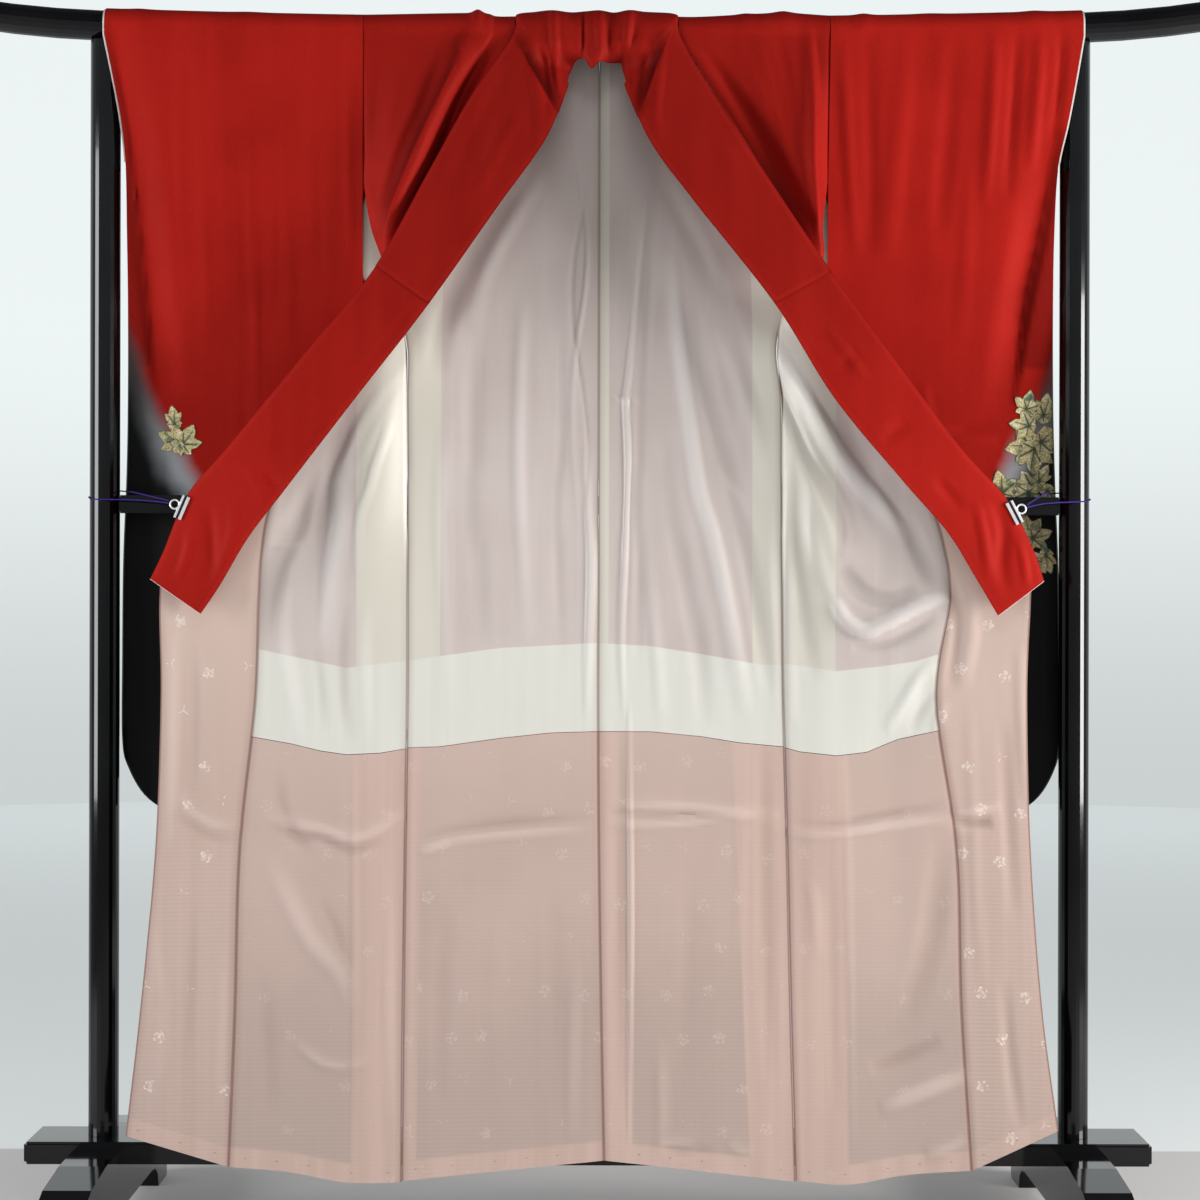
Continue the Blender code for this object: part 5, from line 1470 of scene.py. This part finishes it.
def make_pink_silk():
    """Figured silk: fine woven lines and small scattered blossoms and sprigs in paler thread."""
    material = start_material("pink_figured_silk")
    place = place_of()
    x, _, z = xyz()
    motif = attribute("motif")
    broad = noise(place, 5.0, 3.0)
    streak = noise(place_of((50, 25, 2.0)), 1.0, 3.0)
    grey_pink = mix(ease(broad, .3, .7), (.500, .380, .332), (.550, .414, .366))
    low = calc("MULTIPLY_ADD", broad, .30, z - .15)
    grey_pink = mix(ease(low, .50, .20), grey_pink, (.452, .350, .310))
    salmon = mix(ease(streak, .3, .7), (.555, .402, .342), (.605, .440, .385))
    double = ease(attribute("double"), -.0030, .0030)
    near_hem = ease(attribute("hem"), .030, .022)
    full = calc("MAXIMUM", calc("MAXIMUM", double, near_hem), motif * .55)
    colour = mix(full, grey_pink, salmon)
    colour = mix(ease(z, .52, .86) * .55, colour, (.70, .54, .47))
    line = calc("SINE", z * 1140.0 + noise(place, 30.0) * 3.0)
    line = line + calc("SINE", x * 520.0 + calc("SIGN", line) * 1.57) * .35
    lines = ease(line, -.2, 1.0) * calc("MULTIPLY_ADD", motif, .15, .03)
    lines = lines * calc("MULTIPLY_ADD", ease(z, .66, .40), .8, .2)
    colour = mix(lines, colour, (.70, .56, .50))
    figure = blossoms(x, z) * ease(noise(place, 260.0), .42, .60) * motif
    colour = mix(figure * .85, colour, (.93, .84, .78))
    colour = painted_fold_light(colour, (.30, .195, .165), (.82, .66, .60))
    finish(Base_Color=sewn(colour, (.230, .120, .100)), Roughness=spread(line, -1.0, 1.0, .46, .34),
           Specular_IOR_Level=.42, Sheen_Weight=.12, Sheen_Roughness=.4,
           Normal=relief(line * .35 + noise(place, 900.0), .00007, .7))
    return material


def blossoms(x, z):
    """1 on the thin lines of blossoms and sprigs, each at its own place and turn in a lattice."""
    across_step, up_step, stray = .052, .060, .022
    row = calc("FLOOR", z / up_step)
    shifted = calc("MULTIPLY_ADD", calc("MODULO", row, 2.0), across_step / 2, x)
    column = calc("FLOOR", shifted / across_step)
    cell = add("CombineXYZ", X=column, Y=row, Z=0.0)[0]
    chance, colour = add("TexWhiteNoise", {"noise_dimensions": "3D"}, Vector=cell)
    pick = add("SeparateColor", Color=colour)
    dx = shifted - (column + .5) * across_step + calc("MULTIPLY_ADD", pick[0], stray, -stray / 2)
    dz = z - (row + .5) * up_step + calc("MULTIPLY_ADD", pick[1], stray, -stray / 2)
    reach = calc("SQRT", dx * dx + dz * dz)
    angle = calc("ARCTAN2", dz, dx) + pick[2] * 6.28
    petal = calc("ABSOLUTE", calc("COSINE", angle * 2.5))
    past = reach - calc("MULTIPLY_ADD", petal, .0034, .0044)
    ring = ease(calc("ABSOLUTE", past), .0008, .0003)
    heart = ease(reach, .0016, .0009)
    flower = calc("MAXIMUM", calc("MAXIMUM", ring, heart), ease(past, .0, -.001) * .45)
    spoke = calc("ABSOLUTE", calc("SINE", angle * 1.5))
    sprig = ease(spoke * reach, .0009, .0004) * ease(reach, .0085, .0070)
    shape = calc("MULTIPLY_ADD", calc("GREATER_THAN", pick[1], .42), flower - sprig, sprig)
    return shape * calc("GREATER_THAN", chance, .30)


def make_plain_cloth(name, colour, lighter, rough):
    material = start_material(name)
    grain = noise(place_of(), 700.0, 3.0)
    finish(Base_Color=mix(ease(grain, .3, .7), colour, lighter), Roughness=rough,
           Specular_IOR_Level=.35, Sheen_Weight=.2, Normal=relief(grain, .0001, .6))
    return material


def make_leaf():
    """Gilt leaves shaded with green dye, with veins, a thin dark outline and scattered painted highlights.
    """
    material = start_material("gilt_leaf")
    place = place_of()
    reach, angle, green = (attribute(name) for name in ("reach", "angle", "green"))
    dust = noise(place, 500.0, 3.0, .6)
    gold = mix(ease(dust, .3, .7), (.50, .38, .14), (.92, .82, .46))
    # Scattered painted highlights on the gilt
    gold = mix(ease(noise(place, 150.0), .52, .70) * .8, gold, (1.0, .96, .70))
    dye = ease(noise(place, 70.0), .47, .66) * calc("MULTIPLY_ADD", green, .7, .3)
    colour = mix(dye, gold, (.085, .190, .110))
    colour = mix(ease(reach, .52, .06) * .7, colour, (.040, .110, .060))
    lobe = calc("PINGPONG", angle + .475, .475)
    vein = ease(lobe * reach, .075, .040) * ease(reach, .90, .76)
    side_vein = ease(calc("SINE", reach * 46.0 + lobe * 30.0), .70, .98) * .6
    ink = calc("MAXIMUM", calc("MAXIMUM", vein, side_vein), ease(reach, .93, .98))
    finish(Base_Color=mix(ink * .80, colour, (.020, .035, .016)), Metallic=(1.0 - dye) * .18,
           Roughness=.42, Normal=relief(dust + ink, .00010, .7))
    return material


def make_lacquer():
    """Black lacquer: a deep gloss with faint dust and a slight unevenness."""
    material = start_material("black_gloss_lacquer")
    place = place_of()
    broad = noise(place, 9.0, 3.0)
    base = mix(ease(broad, .35, .7), (.0020, .0020, .0024), (.0042, .0042, .0050))
    speck = ease(noise(place, 900.0, 2.0, .7), .70, .80) * .25
    finish(Base_Color=mix(speck, base, (.05, .05, .052)), Roughness=spread(broad, .3, .7, .07, .15),
           Specular_IOR_Level=.25, Coat_Weight=.25, Coat_Roughness=.04,
           Normal=relief(noise(place, 60.0), .0002, .12))
    return material


def clip_line(bands, side):
    """The line between a clip's two bars, as a way and a distance in x and z."""
    upper, lower = (Vector(bands[k].outer) for k in (CLIP_BAND, CLIP_BAND + 1))
    along = (lower - upper).normalized()
    across_way = Vector((0.0, -side, 0.0)).cross(along).normalized()
    middle = upper + along * CLIP_SLIDE
    return across_way, middle.dot(across_way) + CLIP_LINE_SHIFT


def make_steel():
    """Plated steel, with painted shade in a line where each clip's two bars leave a gap."""
    material = start_material("bright_plated_steel")
    spot = add("TexCoord")[OBJECT_PLACE]
    near = []
    for bands, side in ((LEFT_BAND, -1), (RIGHT_BAND, 1)):
        way, distance = clip_line(bands, side)
        along = add("VectorMath", {"operation": "DOT_PRODUCT"}, i0=spot, i1=tuple(way))[DOT_PRODUCT]
        near.append(calc("ABSOLUTE", along - distance))
    # Painted shade: a dark line where the gap between each clip's two bars lies
    gap = ease(calc("MINIMUM", *near), .0019, .0014)
    brushed = noise(place_of((1600, 1600, 200)), 1.0, 3.0)
    colour = mix(ease(brushed, .3, .7), (.72, .73, .75), (.88, .89, .90))
    finish(Base_Color=mix(gap, colour, (.012, .012, .014)), Metallic=.45,
           Roughness=spread(noise(place_of(), 300.0), .3, .7, .30, .42),
           Normal=relief(brushed, .00004, .5))
    return material


def make_elastic():
    """Round elastic cord with a braided cover."""
    material = start_material("indigo_braided_elastic")
    x, _, z = xyz()
    braid = calc("MAXIMUM", calc("SINE", (x + z) * 5200.0), calc("SINE", (x - z) * 5200.0))
    finish(Base_Color=mix(ease(braid, -.2, .9), (.012, .004, .060), (.050, .018, .230)),
           Roughness=.7, Specular_IOR_Level=.2, Normal=relief(braid, .0002, .8))
    return material


RED_SILK = make_red_silk()
CREAM_SILK = make_cream_silk()
PINK_SILK = make_pink_silk()
PIPING = make_plain_cloth("white_silk_edge", (.62, .60, .56), (.82, .80, .77), .5)
THREAD = make_plain_cloth("pink_thread", (.30, .16, .12), (.48, .27, .21), .7)
RED_THREAD = make_plain_cloth("red_thread", (.55, .07, .03), (.75, .14, .06), .6)
LEAF = make_leaf()
LACQUER = make_lacquer()
STEEL = make_steel()
ELASTIC = make_elastic()


# The object

Half = namedtuple("Half", "side name levels neck_x bands folds shades bumps seam tint cuts")
# x at which the doubled part of each lining begins
Cuts = namedtuple("Cuts", "back_cream back_pink front_cream front_pink")
HALVES = [
    Half(-1, "left", LEFT_FRONT, NECK_LEFT_X, LEFT_BAND, FRONT_LEFT_FOLDS, FRONT_LEFT_SHADES,
         LEFT_BUMPS, SEAM_FRONT_LEFT, TINT_FRONT_LEFT, Cuts(-.196, -.221, -.305, -.309)),
    Half(1, "right", RIGHT_FRONT, NECK_RIGHT_X, RIGHT_BAND, FRONT_RIGHT_FOLDS, FRONT_RIGHT_SHADES,
         RIGHT_BUMPS, SEAM_FRONT_RIGHT, TINT_FRONT_RIGHT, Cuts(.215, .200, .323, .340)),
]


def finish_stand():
    finishes = {"black_lacquer": LACQUER, "clip_steel": STEEL, "indigo_elastic": ELASTIC}
    slots = {part["node"]: part["material_slot"] for part in frame["record"]["subparts"]}
    for name, item in frame["nodes"].items():
        if slots.get(name) in finishes:
            for slot in item.material_slots:
                slot.material = finishes[slots[name]]


def build():
    finish_stand()
    bodies = [make_body(half) for half in HALVES]
    for half in HALVES:
        make_okumi(half)
    make_collar()
    sleeves = [make_sleeve(-1, "left", SLEEVE_LEFT_FOLDS, SLEEVE_LEFT_SHADES, SLEEVE_LEFT_BUMPS,
                           SHADE_SLEEVE_LEFT),
               make_sleeve(1, "right", SLEEVE_RIGHT_FOLDS, SLEEVE_RIGHT_SHADES, SLEEVE_RIGHT_BUMPS,
                           SHADE_SLEEVE_RIGHT)]
    make_leaves("leaves_front", FRONT_LEAVES, sleeves, 1)
    make_leaves("leaves_back", BACK_LEAVES, sleeves + bodies, -1)


# The studio

WALL_RADIUS = 7.0
WALL_HEIGHT = 5.0
WALL_SIDES = 96
WALL_GLOW_BEHIND = .80
WALL_GLOW_BEFORE = .33
PAPER_EDGE = .46
PAPER_GLOW_NEAR = .30
PAPER_GLOW_FAR = .40
PALE_LIGHT = (.94, .995, 1.0)
AIR_LIGHT = (.93, .96, 1.0)
AIR_STRENGTH = .10
Lamp = namedtuple("Lamp", "place width height power colour aim")
LAMPS = [
    Lamp((2.44, -.89, .95), .9, 1.1, 82, (1.0, .985, .965), (.1, 0, .9)),
    Lamp((-2.44, -.89, 1.1), .9, 1.4, 50, (.97, .985, 1.0), (-.1, 0, .9)),
    Lamp((.2, -1.9, 3.2), 1.2, .7, 10, (1.0, .99, .97), (0, 0, 1.0)),
]
CAMERA_PLACE = (.0143, -3.2, .84)
CAMERA_ROLL = .0023
CAMERA_LENS = 72
CAMERA_SENSOR = 36


def make_stage():
    """A pale floor, and a pale wall all round, clear of every viewpoint, both glowing with painted
    light: the wall brighter behind and towards the top, the floor paler and brighter past the
    paper's edge.
    """
    floor_material = start_material("studio_floor")
    y = xyz()[1]
    paper = ease(y, PAPER_EDGE, PAPER_EDGE + .01)
    glow = calc("MULTIPLY_ADD", ease(y, PAPER_EDGE, WALL_RADIUS), PAPER_GLOW_FAR - PAPER_GLOW_NEAR,
                PAPER_GLOW_NEAR)
    finish(Base_Color=mix(paper, (.52, .505, .50), (.50, .52, .52)), Roughness=.7,
           Specular_IOR_Level=.2, Emission_Color=mix(paper, (.27, .262, .26), PALE_LIGHT),
           Emission_Strength=glow)
    wall_material = start_material("studio_wall")
    _, y, z = xyz()
    behind = ease(y, -.35 * WALL_RADIUS, .75 * WALL_RADIUS)
    glow = calc("MULTIPLY_ADD", behind, WALL_GLOW_BEHIND - WALL_GLOW_BEFORE, WALL_GLOW_BEFORE)
    glow = glow * calc("MULTIPLY_ADD", ease(z, 0.0, 2.0), .36, .64)
    finish(Base_Color=(.20, .21, .21, 1), Roughness=.9, Specular_IOR_Level=.1,
           Emission_Color=(*PALE_LIGHT, 1), Emission_Strength=glow)
    for material in (floor_material, wall_material):
        material.cycles.emission_sampling = "NONE"
    turns = [2 * math.pi * k / WALL_SIDES for k in range(WALL_SIDES)]
    ring = [(WALL_RADIUS * math.cos(turn), WALL_RADIUS * math.sin(turn)) for turn in turns]
    floor = new_mesh("studio_floor", [(x, y, 0) for x, y in ring], [tuple(range(WALL_SIDES))],
                     floor_material)
    wall = new_mesh("studio_wall", [(x, y, z) for z in (0, WALL_HEIGHT) for x, y in ring],
                    ring_faces(0, 2, WALL_SIDES), wall_material)


def make_lights():
    for order, light in enumerate(LAMPS):
        lamp = bpy.data.lights.new("softbox_%d" % order, "AREA")
        lamp.shape = "RECTANGLE"
        lamp.size, lamp.size_y = light.width, light.height
        lamp.energy = light.power
        lamp.color = light.colour
        item = bpy.data.objects.new(lamp.name, lamp)
        item.location = light.place
        way = Vector(light.aim) - Vector(light.place)
        item.rotation_euler = way.to_track_quat("-Z", "Y").to_euler()
        item.visible_camera = False
        bpy.context.scene.collection.objects.link(item)
    world = bpy.data.worlds.new("studio")
    bpy.context.scene.world = world
    world.use_nodes = True
    background = world.node_tree.nodes["Background"]
    background.inputs[0].default_value = (*AIR_LIGHT, 1)
    background.inputs[1].default_value = AIR_STRENGTH
    bpy.context.scene.view_settings.view_transform = "Standard"


def make_camera():
    data = bpy.data.cameras.new("camera")
    data.lens = CAMERA_LENS
    data.sensor_width = CAMERA_SENSOR
    camera = bpy.data.objects.new("camera", data)
    level, roll = Matrix.Rotation(math.pi / 2, 4, "X"), Matrix.Rotation(CAMERA_ROLL, 4, "Z")
    camera.matrix_world = Matrix.Translation(CAMERA_PLACE) @ level @ roll
    bpy.context.scene.collection.objects.link(camera)
    bpy.context.scene.camera = camera


build()
make_stage()
make_lights()
make_camera()
